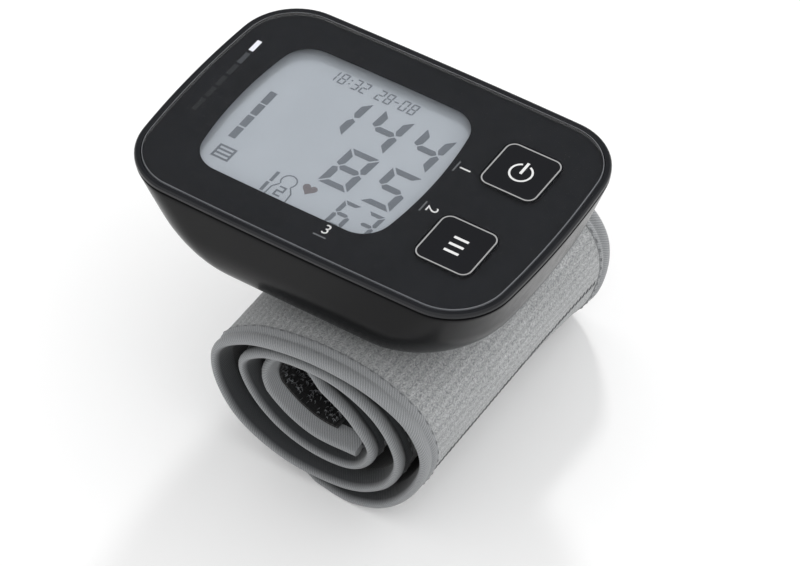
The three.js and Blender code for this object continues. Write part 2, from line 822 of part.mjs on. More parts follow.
function makeBatteryCover() {
  // Inside the wall, a pad that the link contact lies on and two runners beside the bay
  let inner = block(
    -lensHalfLength,
    -cellY - contactHalf,
    cellAxisZ - contactHalf,
    linkPlateX - thinGap,
    cellY + contactHalf,
    cellAxisZ + contactHalf,
  );
  [-1, 1].forEach((side) => {
    const nearY = side * tongueY;
    const farY = side * (tongueY + doorTongueThickness);
    inner = inner.add(block(
      -lensHalfLength,
      Math.min(nearY, farY),
      caseFloorZ + doorBottom + seatGap,
      -endWallX + doorTongueLength,
      Math.max(nearY, farY),
      lensTopZ - doorTop - seatGap,
    ));
  });
  const insideWall = bowl(caseWall / 2, caseFloorZ, caseTopZ, bottomRound - caseFloor);
  let door = caseShell().intersect(doorBlock(0)).add(inner.intersect(insideWall));
  // Finger grooves across the outside
  const grooveStart = cellAxisZ - (doorRidgePitch * (doorRidges - 1)) / 2;
  for (let ridge = 0; ridge < doorRidges; ridge += 1) {
    const grooveZ = grooveStart + ridge * doorRidgePitch;
    const depthShare = (caseTopZ - grooveZ) / (caseTopZ - caseBottomZ);
    const skinX = Math.max(...caseOutline(depthShare, 0).map((point) => point.x));
    door = door.subtract(block(
      -skinX - cutOverrun,
      -doorHalfWidth / 2,
      grooveZ,
      -skinX + doorRidgeDepth,
      doorHalfWidth / 2,
      grooveZ + doorRidgeWidth,
    ));
  }
  place('battery_cover', door, 'satinBlack');
}

function makeKey(name, switchName, plungerName, keyY) {
  const flangeTopZ = filmBottomZ - thinGap;
  const flangeBottomZ = flangeTopZ - keyFlangeThickness;
  const stemBottomZ = flangeBottomZ - keyStemLength;
  const cap = slab(keyOutline(0, keyY), flangeTopZ, lensTopZ - keyDrop)
    .add(slab(keyOutline(keyFlange, keyY), flangeBottomZ, flangeTopZ))
    .add(post(keyX, keyY, stemBottomZ, flangeBottomZ, keyStemRadius));
  place(name, cap, 'glossBlack');
  const plungerTopZ = stemBottomZ - thinGap;
  const plungerBottomZ = plungerTopZ - plungerLength;
  const plunger = post(keyX, keyY, plungerBottomZ, plungerTopZ, plungerRadius, smallSides);
  place(plungerName, plunger, 'greyPlastic');
  const bodyBottomZ = boardTopZ + thinGap;
  const wellBottomZ = plungerBottomZ - keyTravel - thinGap;
  const body = block(
    keyX - switchHalfSize,
    keyY - switchHalfSize,
    bodyBottomZ,
    keyX + switchHalfSize,
    keyY + switchHalfSize,
    bodyBottomZ + switchHeight,
  ).subtract(post(
    keyX,
    keyY,
    wellBottomZ,
    bodyBottomZ + switchHeight + cutOverrun,
    plungerRadius + seatGap,
    smallSides,
  ));
  place(switchName, body, 'chip');
}

function makeDisplay() {
  const glass = roundedBox(displayHalfLength, displayHalfWidth, displayCorner, windowOffset);
  place('display_glass', slab(glass, displayBottomZ, displayTopZ), 'display');
  const outer = roundedBox(
    displayHalfLength + displayFrameWall,
    displayHalfWidth + displayFrameWall,
    displayCorner + displayFrameWall,
    windowOffset,
  );
  const pocket = roundedBox(
    displayHalfLength + displayClearance,
    displayHalfWidth + displayClearance,
    displayCorner + displayClearance,
    windowOffset,
  );
  const through = roundedBox(
    displayHalfLength - displayFrameLedge,
    displayHalfWidth - displayFrameLedge,
    displayCorner,
    windowOffset,
  );
  const frameTopZ = filmBottomZ - thinGap;
  const frameBottomZ = boardTopZ + thinGap;
  const frame = slab(outer, frameBottomZ, frameTopZ)
    .subtract(slab(pocket, displayBottomZ - thinGap, frameTopZ + cutOverrun))
    .subtract(slab(through, frameBottomZ - cutOverrun, frameTopZ + cutOverrun));
  place('display_frame', frame, 'whitePlastic');
  const zebraHalfLength = displayHalfLength - displayFrameLedge - zebraEndGap;
  ['front', 'rear'].forEach((end, index) => {
    const side = index * 2 - 1;
    const edge = side * (displayHalfWidth - displayFrameLedge - displayClearance);
    const inner = edge - side * zebraWidth;
    place(`zebra_strip_${end}`, block(
      windowOffset - zebraHalfLength,
      Math.min(edge, inner),
      boardTopZ + thinGap,
      windowOffset + zebraHalfLength,
      Math.max(edge, inner),
      displayBottomZ - thinGap,
    ), 'rubber');
  });
}

function makeBoard() {
  let board = slab(lensOutline(rimBorder - boardInset), boardBottomZ, boardTopZ);
  lugs.forEach(([x, y]) => {
    board = board.subtract(post(
      x,
      y,
      boardBottomZ - cutOverrun,
      boardTopZ + cutOverrun,
      boardScrewShankRadius + seatGap,
      smallSides,
    ));
  });
  postYs.forEach((y) => {
    board = board.subtract(post(
      postX,
      y,
      boardBottomZ - cutOverrun,
      boardTopZ + cutOverrun,
      screwShankRadius + seatGap,
      smallSides,
    ));
  });
  place('circuit_board', board, 'board');
  const underZ = boardBottomZ - thinGap;
  const besideBayY = bayHalfWidth + bayWall;
  place('controller_chip', block(
    -chipSize / 2,
    besideBayY + chipMargin,
    underZ - chipHeight,
    chipSize / 2,
    besideBayY + chipMargin + chipSize,
    underZ,
  ), 'chip');
  const sensor = block(
    pumpX - sensorSize / 2,
    teeY - sensorSize / 2,
    underZ - sensorHeight,
    pumpX + sensorSize / 2,
    teeY + sensorSize / 2,
    underZ,
  ).add(post(
    pumpX,
    teeY,
    underZ - sensorHeight - sensorPortLength,
    underZ - sensorHeight / 2,
    sensorPortRadius,
    smallSides,
  ));
  place('pressure_sensor', sensor, 'whitePlastic');
  const buzzerX = buzzerEndMargin - lensHalfLength;
  const buzzerY = -besideBayY - buzzerMargin - buzzerRadius;
  place('buzzer', post(buzzerX, buzzerY, underZ - buzzerHeight, underZ, buzzerRadius), 'chip');
  lugs.forEach(([x, y], index) => {
    const screw = post(x, y, underZ - boardScrewHeadHeight, underZ, boardScrewHeadRadius, smallSides)
      .add(post(x, y, underZ, underZ + boardScrewShankLength, boardScrewShankRadius, smallSides));
    place(`board_screw_${index + 1}`, screw, 'steel');
  });
}

function makeIndicator() {
  const barTopZ = boardTopZ + thinGap + lampBarHeight;
  const lampTopZ = barTopZ + lampHeight;
  place('light_guide', block(
    guideX - guideWidth / 2,
    guideCentreY - guideLength / 2,
    lampTopZ + thinGap,
    guideX + guideWidth / 2,
    guideCentreY + guideLength / 2,
    filmBottomZ - thinGap,
  ), 'clear');
  let bar = block(
    guideX - guideWidth / 2,
    guideCentreY - guideLength / 2,
    boardTopZ + thinGap,
    guideX + guideWidth / 2,
    guideCentreY + guideLength / 2,
    barTopZ,
  );
  for (let lamp = 0; lamp < lampCount; lamp += 1) {
    const lampY = guideCentreY + (lamp - (lampCount - 1) / 2) * lampPitch;
    bar = bar.add(post(guideX, lampY, barTopZ - lampBarHeight / 2, lampTopZ, lampRadius, smallSides));
  }
  place('lamp_bar', bar, 'whitePlastic');
}

function makeCaseScrews() {
  const headTopZ = caseBottomZ + screwSink - thinGap;
  postYs.forEach((y, index) => {
    const screw = post(postX, y, headTopZ - screwHeadHeight, headTopZ, screwHeadRadius)
      .add(post(postX, y, headTopZ, screwTopZ - seatGap, screwShankRadius, smallSides));
    place(`case_screw_${index + 1}`, screw, 'steel');
  });
}

// A cell along X with its nub at the left (-1) or right (1) end
function makeCell(name, startX, y, nubSide) {
  const canLowX = nubSide < 0 ? startX + cellNubLength : startX;
  const canHighX = canLowX + cellLength - cellNubLength;
  const nubLowX = nubSide < 0 ? startX : canHighX;
  const cell = rod(y, cellAxisZ, canLowX, canHighX, cellRadius)
    .add(rod(y, cellAxisZ, nubLowX, nubLowX + cellNubLength, cellNubRadius, smallSides));
  place(name, cell, 'cell');
}

// A coil of wire along X as one unbroken tube
function makeSpring(name, startX, y) {
  const steps = springTurns * wireSteps;
  const coilLength = springLength - springWireRadius * 2;
  const positions = [];
  for (let step = 0; step <= steps; step += 1) {
    const angle = (fullTurn * step) / wireSteps;
    const x = startX + springWireRadius + (coilLength * step) / steps;
    for (let side = 0; side < wireSides; side += 1) {
      const around = (fullTurn * side) / wireSides;
      const radius = springRadius + springWireRadius * Math.cos(around);
      positions.push(
        x + springWireRadius * Math.sin(around),
        y + radius * Math.cos(angle),
        cellAxisZ + radius * Math.sin(angle),
      );
    }
  }
  place(name, tube(positions, steps + 1, wireSides), 'steel');
}

// Closes rings of equal point counts into a tube with flat ends.
function tube(positions, rings, sides) {
  const faces = [];
  for (let ring = 0; ring < rings - 1; ring += 1) {
    for (let side = 0; side < sides; side += 1) {
      const a = ring * sides + side;
      const b = ring * sides + ((side + 1) % sides);
      faces.push(a, b, b + sides, a, b + sides, a + sides);
    }
  }
  const last = (rings - 1) * sides;
  for (let side = 1; side < sides - 1; side += 1) {
    faces.push(0, side + 1, side, last, last + side, last + side + 1);
  }
  return closedSolid(positions, faces);
}

function makeCells() {
  makeCell('cell_front', frontCellStartX, -cellY, -1);
  makeCell('cell_rear', rearCellStartX, cellY, 1);
  // One plate on the battery cover joins the two cells
  place('link_contact', block(
    linkPlateX,
    -cellY - contactHalf,
    cellAxisZ - contactHalf,
    linkPlateX + contactThickness,
    cellY + contactHalf,
    cellAxisZ + contactHalf,
  ), 'steel');
  ['front', 'rear'].forEach((end, index) => {
    const y = cellY * (index * 2 - 1);
    place(`cell_contact_${end}`, block(
      contactX,
      y - contactHalf,
      cellAxisZ - contactHalf,
      contactX + contactThickness,
      y + contactHalf,
      cellAxisZ + contactHalf,
    ), 'steel');
  });
  makeSpring('cell_spring_front', frontCellStartX + cellLength + thinGap, -cellY);
  makeSpring('cell_spring_rear', linkPlateX + contactThickness + thinGap, cellY);
}

function makePump() {
  const motorBack = motorFront - motorLength;
  const flats = block(
    pumpX - motorRadius - cutOverrun,
    motorBack - cutOverrun,
    pumpAxisZ - motorFlat,
    pumpX + motorRadius + cutOverrun,
    motorFront + cutOverrun,
    pumpAxisZ + motorFlat,
  );
  const motor = barrel(pumpX, pumpAxisZ, motorBack, motorFront, motorRadius)
    .intersect(flats)
    .subtract(barrel(
      pumpX,
      pumpAxisZ,
      motorFront + shaftReach - shaftLength - seatGap,
      motorFront + cutOverrun,
      shaftRadius + seatGap,
      smallSides,
    ));
  place('pump_motor', motor, 'steel');
  const shaftEndY = motorFront + shaftReach + crankThickness;
  place('motor_shaft', barrel(
    pumpX,
    pumpAxisZ,
    motorFront + shaftReach - shaftLength,
    shaftEndY,
    shaftRadius,
    smallSides,
  ), 'steel');
  const crankLowY = pumpHeadY + seatGap;
  const crank = barrel(pumpX + crankOffset, pumpAxisZ, crankLowY, crankLowY + crankThickness, crankRadius)
    .subtract(barrel(
      pumpX,
      pumpAxisZ,
      crankLowY - cutOverrun,
      shaftEndY + thinGap,
      shaftRadius + thinGap,
      smallSides,
    ));
  place('pump_crank', crank, 'whitePlastic');
  const cavityRadius = crankRadius + crankOffset + seatGap;
  const head = block(
    pumpX - pumpHeadHalfWidth,
    pumpHeadY,
    pumpAxisZ - pumpHeadHalfWidth,
    pumpX + pumpHeadHalfWidth,
    pumpHeadY + pumpHeadLength,
    pumpAxisZ + pumpHeadHalfWidth - pumpHeadWall,
  )
    .add(barrel(
      pumpX,
      pumpAxisZ,
      pumpHeadY + pumpHeadLength / 2,
      nozzleEndY,
      nozzleRadius,
      smallSides,
    ))
    .subtract(barrel(pumpX, pumpAxisZ, pumpHeadY - cutOverrun, pumpHeadY + pumpCavityDepth, cavityRadius));
  place('pump_head', head, 'greyPlastic');
}

function makeAirWays() {
  const sensorPortZ = boardBottomZ - thinGap - sensorHeight - sensorPortLength;
  const nippleTopZ = caseFloorZ + teeRadius;
  const branchX = pumpX + teeRadius + seatGap;
  const tee = post(pumpX, teeY, nippleTopZ, sensorPortZ - thinGap, teeRadius)
    .add(rod(teeY, pumpAxisZ, pumpX, branchX, teeRadius - seatGap, smallSides))
    .subtract(post(
      pumpX,
      teeY,
      nippleTopZ - cutOverrun,
      sensorPortZ + cutOverrun,
      teeBore,
      smallSides,
    ));
  place('air_tee', tee, 'silicone');
  const bladderShare = shareOfTopAt(pumpX);
  const bladderTop = besideLine(bladderShare, bladderThickness / 2);
  const nipple = post(
    pumpX,
    teeY,
    rollCentreZ + bladderTop.y + nippleClearance,
    nippleTopZ - thinGap,
    nippleRadius,
    smallSides,
  ).subtract(post(
    pumpX,
    teeY,
    rollCentreZ + bladderTop.y - cutOverrun,
    nippleTopZ + cutOverrun,
    nippleBore,
    smallSides,
  ));
  place('air_nipple', nipple, 'silicone');
  const valveSideX = valveX - valveRadius;
  const hose = rod(teeY, pumpAxisZ, branchX + thinGap, valveSideX - thinGap, hoseRadius, smallSides)
    .subtract(rod(
      teeY,
      pumpAxisZ,
      branchX - cutOverrun,
      valveSideX + cutOverrun,
      hoseBore,
      smallSides,
    ));
  place('valve_hose', hose, 'silicone');
  const valveBottomZ = caseFloorZ + seatGap;
  const valveTopZ = valveBottomZ + valveHeight;
  const plungerLowZ = valveTopZ + valvePlungerReach - valvePlungerLength;
  const valve = post(valveX, teeY, valveBottomZ, valveTopZ, valveRadius)
    .subtract(post(
      valveX,
      teeY,
      plungerLowZ - valveTravel - seatGap,
      valveTopZ + cutOverrun,
      valvePlungerRadius + seatGap,
      smallSides,
    ));
  place('exhaust_valve', valve, 'steel');
  place('valve_plunger', post(
    valveX,
    teeY,
    plungerLowZ,
    valveTopZ + valvePlungerReach,
    valvePlungerRadius,
    smallSides,
  ), 'steel');
}

// The share of the line's points at a length along it.
function shareAtLength(length) {
  return rollLine.getUtoTmapping(0, length);
}

// The share at which the strap's first turn passes over a place across the roll.
function shareOfTopAt(x) {
  let best = 0;
  let bestDistance = rollLength;
  for (let step = 0; step < gapSamples * bladderSpanShares[1]; step += 1) {
    const point = rollLine.getPoint(step / gapSamples);
    const distance = Math.abs(point.x - x);
    if (point.z > 0 && distance < bestDistance) {
      bestDistance = distance;
      best = step / gapSamples;
    }
  }
  return best;
}

// One layer of the strap: everything between two offsets from its middle line, for a span of
// its length given as shares, over a breadth along Y. Nothing of it goes below the floor.
function strapLayer(startShare, endShare, outerOffset, innerOffset, lowY, highY) {
  const shares = [startShare];
  for (let step = 0; step <= strapSteps; step += 1) {
    const share = step / strapSteps;
    const clear = stationShare / strapSteps;
    if (share > startShare + clear && share < endShare - clear) {
      shares.push(share);
    }
  }
  shares.push(endShare);
  const outer = shares.map((share) => besideLine(share, outerOffset));
  const inner = shares.map((share) => besideLine(share, innerOffset));
  const profile = [...outer, ...inner.reverse()].map((point) => new THREE.Vector2(
    point.x,
    Math.max(0, point.y + rollCentreZ),
  ));
  const geometry = new THREE.ExtrudeGeometry(
    new THREE.Shape(profile),
    { depth: highY - lowY, bevelEnabled: false },
  );
  geometry.rotateX(quarterTurn);
  geometry.translate(0, highY, 0);
  return toSolid(geometry);
}

// A bound edge: the strap's whole thickness over the binding's width, with its rim rounded.
function edgeBinding(name, side) {
  const halfThickness = strapThickness / 2;
  const outY = side * strapHalfBreadth;
  const inY = side * (strapHalfBreadth - bindingWidth);
  const section = [[halfThickness, inY]];
  for (let step = 0; step <= bindingRoundSteps; step += 1) {
    const angle = (Math.PI * step) / bindingRoundSteps;
    section.push([
      halfThickness * Math.cos(angle),
      outY - side * halfThickness * (1 - Math.sin(angle)),
    ]);
  }
  section.push([-halfThickness, inY]);
  const positions = [];
  for (let step = 0; step <= strapSteps; step += 1) {
    section.forEach(([offset, y]) => {
      const point = besideLine(step / strapSteps, offset);
      positions.push(point.x, y, Math.max(0, point.y + rollCentreZ));
    });
  }
  place(name, tube(positions, strapSteps + 1, section.length), 'binding');
}

function makeCuff() {
  const halfThickness = strapThickness / 2;
  const clothHalfBreadth = strapHalfBreadth - bindingWidth - seatGap;
  const tailShare = shareAtLength(endBindingLength);
  const tailGapShare = shareAtLength(endBindingLength + seatGap);
  const innerShare = shareAtLength(rollLength - endBindingLength);
  const innerGapShare = shareAtLength(rollLength - endBindingLength - seatGap);
  const nippleHole = post(
    pumpX,
    teeY,
    rollTopZ - strapThickness * 2,
    rollTopZ + cutOverrun,
    nippleRadius + seatGap,
    smallSides,
  );
  const outerCloth = strapLayer(
    tailGapShare,
    innerGapShare,
    halfThickness,
    halfThickness - clothThickness,
    -clothHalfBreadth,
    clothHalfBreadth,
  ).subtract(nippleHole);
  place('cuff_outer_fabric', outerCloth, 'felt');
  place('cuff_lining', strapLayer(
    tailGapShare,
    innerGapShare,
    clothThickness - halfThickness,
    -halfThickness,
    -clothHalfBreadth,
    clothHalfBreadth,
  ), 'lining');
  const innerHalfBreadth = clothHalfBreadth - hookPatchMargin;
  place('air_bladder', strapLayer(
    bladderSpanShares[0],
    bladderSpanShares[1],
    bladderThickness / 2,
    -bladderThickness / 2,
    -innerHalfBreadth,
    innerHalfBreadth,
  ), 'rubber');
  place('curl_plate', strapLayer(
    curlPlateSpanShares[0],
    curlPlateSpanShares[1],
    bladderThickness / 2,
    -bladderThickness / 2,
    -innerHalfBreadth,
    innerHalfBreadth,
  ), 'whitePlastic');
  place('hook_patch', strapLayer(
    hookPatchSpanShares[0],
    hookPatchSpanShares[1],
    -halfThickness - seatGap,
    -halfThickness - seatGap - hookPatchThickness,
    -innerHalfBreadth,
    innerHalfBreadth,
  ), 'hook');
  place('tail_binding', strapLayer(
    0,
    tailShare,
    halfThickness,
    -halfThickness,
    -clothHalfBreadth,
    clothHalfBreadth,
  ), 'binding');
  place('inner_end_binding', strapLayer(
    innerShare,
    1,
    halfThickness,
    -halfThickness,
    -clothHalfBreadth,
    clothHalfBreadth,
  ), 'binding');
  edgeBinding('front_edge_binding', -1);
  edgeBinding('rear_edge_binding', 1);
}

// Saddle between the flat underside of the case and the round top of the roll
function makeBracket() {
  const topZ = caseBottomZ - seatGap;
  const startShare = shareOfTopAt(bracketHighX + strapThickness);
  const endShare = shareOfTopAt(bracketLowX - strapThickness);
  const saddle = [];
  for (let step = 0; step <= strapSteps; step += 1) {
    const share = step / strapSteps;
    if (share >= startShare && share <= endShare) {
      const over = besideLine(share, strapThickness / 2 + seatGap);
      saddle.push(new THREE.Vector2(over.x, rollCentreZ + over.y));
    }
  }
  const first = saddle[0];
  const last = saddle[saddle.length - 1];
  const profile = [
    new THREE.Vector2(last.x, topZ),
    new THREE.Vector2(first.x, topZ),
    ...saddle,
  ];
  const geometry = new THREE.ExtrudeGeometry(
    new THREE.Shape(profile),
    { depth: bracketHalfWidth * 2, bevelEnabled: false },
  );
  geometry.rotateX(quarterTurn);
  geometry.translate(0, bracketHalfWidth, 0);
  let bracket = toSolid(geometry).intersect(block(
    bracketLowX,
    -bracketHalfWidth,
    0,
    bracketHighX,
    bracketHalfWidth,
    topZ,
  ));
  bracketPegPlaces().forEach(([x, y]) => {
    bracket = bracket.add(post(x, y, topZ - bracketCrest / 2, caseFloorZ - thinGap, pegRadius, smallSides));
  });
  bracket = bracket.subtract(post(
    pumpX,
    teeY,
    rollTopZ - strapThickness * 2,
    caseBottomZ,
    nippleRadius + seatGap,
    smallSides,
  ));
  place('cuff_bracket', bracket, 'satinBlack');
}

makeLens();
makeFilm();
makeTopCover();
makeLowerCase();
makeBatteryCover();
makeKey('power_key', 'power_switch', 'power_switch_plunger', keyYs[0]);
makeKey('memory_key', 'memory_switch', 'memory_switch_plunger', keyYs[1]);
makeDisplay();
makeBoard();
makeIndicator();
makeCaseScrews();
makeCells();
makePump();
makeAirWays();
makeBracket();
makeCuff();

export default monitor;
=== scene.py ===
import logging
import math
import random
from dataclasses import dataclass, replace
from enum import Enum

import bmesh
import bpy
from mathutils import Matrix, Vector, noise
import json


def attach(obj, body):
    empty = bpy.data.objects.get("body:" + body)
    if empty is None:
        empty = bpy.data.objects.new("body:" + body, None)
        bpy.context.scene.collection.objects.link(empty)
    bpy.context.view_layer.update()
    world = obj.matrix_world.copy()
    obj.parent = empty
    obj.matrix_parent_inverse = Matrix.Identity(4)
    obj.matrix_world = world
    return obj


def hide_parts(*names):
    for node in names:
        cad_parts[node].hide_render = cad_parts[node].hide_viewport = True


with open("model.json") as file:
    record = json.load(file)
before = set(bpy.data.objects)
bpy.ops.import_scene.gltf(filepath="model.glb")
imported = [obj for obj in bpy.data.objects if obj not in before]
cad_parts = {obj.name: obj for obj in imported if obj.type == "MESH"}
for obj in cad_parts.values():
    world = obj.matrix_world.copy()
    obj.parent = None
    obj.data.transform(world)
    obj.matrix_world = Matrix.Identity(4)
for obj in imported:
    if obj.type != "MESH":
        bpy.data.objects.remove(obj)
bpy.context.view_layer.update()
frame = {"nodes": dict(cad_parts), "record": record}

MM = 0.001
LOG = logging.getLogger("monitor")

Piece = bpy.types.Object
Tree = bpy.types.NodeTree
Node = bpy.types.Node
Socket = bpy.types.NodeSocket
Input = Socket | float | str | tuple
Mesh = bmesh.types.BMesh
Point = tuple[float, float]
Polygon = list[Point]
Ring = list[Vector]

# Directions, place and lens of the camera that took the photograph, in millimetres.
CAMERA_RIGHT = Vector((0.8343, 0.5508, -0.0237))
CAMERA_UP = Vector((-0.3887, 0.6183, 0.6831))
CAMERA_BACK = Vector((0.3909, -0.5607, 0.7299))
CAMERA_PLACE = Vector((306.5, -431.6, 589.9))
CAMERA_LENS = 172.2

ACRYLIC_INDEX = 1.49
MERGE_DISTANCE = 0.001


class Slot(Enum):
    """Material slots of the record."""

    GLOSS_BLACK = "gloss_black"
    CLEAR_LENS = "clear_lens"
    PRINT_FILM = "print_film"
    SATIN_BLACK = "satin_black"
    DISPLAY = "display"
    WHITE_PLASTIC = "white_plastic"
    GREY_PLASTIC = "grey_plastic"
    BLACK_RUBBER = "black_rubber"
    CLEAR_SILICONE = "clear_silicone"
    BOARD_GREEN = "board_green"
    CHIP_BLACK = "chip_black"
    BRIGHT_STEEL = "bright_steel"
    CELL_SLEEVE = "cell_sleeve"
    GREY_FELT = "grey_felt"
    DARK_LINING = "dark_lining"
    GREY_BINDING = "grey_binding"
    BLACK_HOOK = "black_hook"


class Cut(Enum):
    """Ways in which one solid changes another."""

    TAKE = "DIFFERENCE"
    KEEP = "INTERSECT"


def linear(code: str) -> tuple[float, float, float, float]:
    """Turns an sRGB hex colour into a linear one.

    Args:
        code: Colour as "#RRGGBB".

    Returns:
        Linear red, green, blue and an alpha of one.
    """
    shares = [int(code[start:start + 2], 16) / 255 for start in (1, 3, 5)]
    mixed = [s / 12.92 if s <= 0.04045 else ((s + 0.055) / 1.055) ** 2.4 for s in shares]
    return (*mixed, 1.0)


def add_node(tree: Tree, kind: str, inputs: dict | None = None, stops: list | None = None,
             **settings: object) -> Node:
    """Adds a shader node with its settings, values and links.

    Args:
        tree: Node tree that takes the node.
        kind: Node type without its "ShaderNode" start.
        inputs: Values, hex colours or output sockets by input name or number.
        stops: Places and hex colours of a colour ramp.
        settings: Properties of the node.

    Returns:
        The new node.
    """
    node = tree.nodes.new("ShaderNode" + kind)
    for name, value in settings.items():
        setattr(node, name, value)
    for name, value in (inputs or {}).items():
        if isinstance(value, bpy.types.NodeSocket):
            tree.links.new(value, node.inputs[name])
        elif isinstance(value, str):
            node.inputs[name].default_value = linear(value)
        else:
            node.inputs[name].default_value = value
    if stops:
        elements = node.color_ramp.elements
        while len(elements) < len(stops):
            elements.new(1.0)
        for element, (place, code) in zip(elements, stops):
            element.position = place
            element.color = linear(code)
    return node


def grain(tree: Tree, vector: Socket, size: float, detail: float = 2.0,
          roughness: float = 0.5) -> Socket:
    """Adds noise whose features are about a size, in millimetres, and returns its value."""
    inputs = {"Vector": vector, "Scale": 1 / (size * MM), "Detail": detail, "Roughness": roughness}
    return add_node(tree, "TexNoise", inputs).outputs["Fac"]


def spread(tree: Tree, value: Socket, low: float, high: float, from_low: float = 0.3,
           from_high: float = 0.7) -> Socket:
    """Maps a value to another range and returns it.

    Args:
        tree: Node tree that takes the node.
        value: Value that is mapped.
        low: Result at the low end.
        high: Result at the high end.
        from_low: Low end of the value.
        from_high: High end of the value.

    Returns:
        The mapped value.
    """
    inputs = {
        "Value": value, "From Min": from_low, "From Max": from_high, "To Min": low, "To Max": high,
    }
    return add_node(tree, "MapRange", inputs).outputs["Result"]


def blend_colours(tree: Tree, share: Input, first: Input, second: Input) -> Socket:
    """Mixes two colours by a share and returns the colour."""
    inputs = {0: share, 6: first, 7: second}
    return add_node(tree, "Mix", inputs, data_type="RGBA").outputs[2]


def maths(tree: Tree, operation: str, *values: Input) -> Socket:
    """Adds a maths node and returns its value."""
    inputs = dict(enumerate(values))
    return add_node(tree, "Math", inputs, operation=operation).outputs[0]


def relief(tree: Tree, height: Socket, depth: float) -> Socket:
    """Adds a bump of a depth in millimetres and returns its normal."""
    inputs = {"Height": height, "Distance": depth * MM, "Strength": 1.0}
    return add_node(tree, "Bump", inputs).outputs["Normal"]


def seen_share(tree: Tree) -> Socket:
    """Adds a value of one for rays that show a thing straight, mirrored or through glass.

    Args:
        tree: Node tree that takes the nodes.

    Returns:
        The value, which is zero for all other rays.
    """
    path = add_node(tree, "LightPath").outputs
    seen = maths(tree, "MAXIMUM", path["Is Camera Ray"], path["Is Glossy Ray"])
    return maths(tree, "MAXIMUM", seen, path["Is Transmission Ray"])


class Finish:
    """Base of all finishes, which turns the nodes of each into a material."""

    name: str

    def surface(self, tree: Tree) -> Node:
        """Adds the finish's own nodes and returns its shader."""
        raise NotImplementedError

    def build(self) -> bpy.types.Material:
        """Makes the material.

        Returns:
            The material.
        """
        material = bpy.data.materials.new(self.name)
        material.use_nodes = True
        tree = material.node_tree
        tree.nodes.clear()
        add_node(tree, "OutputMaterial", {"Surface": self.surface(tree).outputs[0]})
        return material


@dataclass(frozen=True)
class Moulded(Finish):
    """Solid coloured stuff with a fine surface: plastic, rubber, ink or metal."""

    name: str
    colour: str
    shade: str
    roughness: float
    grain_size: float = 0.3
    grain_depth: float = 0.004
    metallic: float = 0.0
    coat: float = 0.0
    specular: float = 0.5

    def surface(self, tree: Tree) -> Node:
        """Adds the finish's own nodes.

        Args:
            tree: Node tree that takes them.

        Returns:
            The shader.
        """
        place = add_node(tree, "TexCoord").outputs["Object"]
        # Slow drift of tone, so that large faces aren't one flat colour.
        tone = spread(tree, grain(tree, place, 9.0, 3.0), 0.0, 1.0)
        fine = grain(tree, place, self.grain_size, 3.0)
        # Handling marks change the shine more than the colour.
        wear = spread(tree, grain(tree, place, 3.0, 5.0, 0.7), 0.85, 1.3)
        inputs = {
            "Base Color": blend_colours(tree, tone, self.colour, self.shade),
            "Roughness": maths(tree, "MULTIPLY", wear, self.roughness),
            "Metallic": self.metallic,
            "Coat Weight": self.coat,
            "Coat Roughness": 0.03,
            "Normal": relief(tree, fine, self.grain_depth),
        }
        if self.metallic < 0.5:
            inputs["Specular IOR Level"] = self.specular
        return add_node(tree, "BsdfPrincipled", inputs)


@dataclass(frozen=True)
class ClearAcrylic(Finish):
    """Clear moulded acrylic: bends what is seen through it, and lets the lamps through."""

    name: str = "Clear acrylic"
    tint: str = "#FDFDFD"
    roughness: float = 0.012

    def surface(self, tree: Tree) -> Node:
        """Adds the finish's own nodes.

        Args:
            tree: Node tree that takes them.

        Returns:
            The shader.
        """
        place = add_node(tree, "TexCoord").outputs["Object"]
        # Faint waviness of the moulded face and rub marks in its shine.
        wave = grain(tree, place, 14.0, 1.0)
        rubbed = spread(tree, grain(tree, place, 2.5, 6.0, 0.75), 0.6, 2.2)
        glass = add_node(tree, "BsdfPrincipled", {
            "Base Color": self.tint,
            "Roughness": maths(tree, "MULTIPLY", rubbed, self.roughness),
            "IOR": ACRYLIC_INDEX,
            "Transmission Weight": 1.0,
            "Normal": relief(tree, wave, 0.006),
        })
        clear = add_node(tree, "BsdfTransparent", {"Color": self.tint})
        # Light that only passes on its way to or from a matt face goes straight through, once.
        path = add_node(tree, "LightPath")
        passing = maths(tree, "MAXIMUM", path.outputs["Is Shadow Ray"],
                        path.outputs["Is Diffuse Ray"])
        return add_node(tree, "MixShader", {0: passing, 1: glass.outputs[0], 2: clear.outputs[0]})


@dataclass(frozen=True)
class CircuitBoard(Finish):
    """Green solder mask over copper tracks."""

    name: str = "Solder mask over copper"

    def surface(self, tree: Tree) -> Node:
        """Adds the finish's own nodes.

        Args:
            tree: Node tree that takes them.

        Returns:
            The shader.
        """
        place = add_node(tree, "TexCoord").outputs["Object"]
        # Tracks: a brick pattern's joints read as thin raised copper lines under the mask.
        inputs = {
            "Vector": place, "Scale": 1 / MM, "Mortar Size": 0.12, "Brick Width": 2.6,
            "Row Height": 0.9, "Color1": "#000000", "Color2": "#000000", "Mortar": "#FFFFFF",
        }
        track = add_node(tree, "TexBrick", inputs).outputs["Fac"]
        cloudy = spread(tree, grain(tree, place, 6.0), 0.0, 1.0)
        base = blend_colours(tree, cloudy, "#1B4E30", "#225C39")
        return add_node(tree, "BsdfPrincipled", {
            "Base Color": blend_colours(tree, track, base, "#3C8A55"),
            "Roughness": 0.35,
            "Normal": relief(tree, track, 0.04),
        })


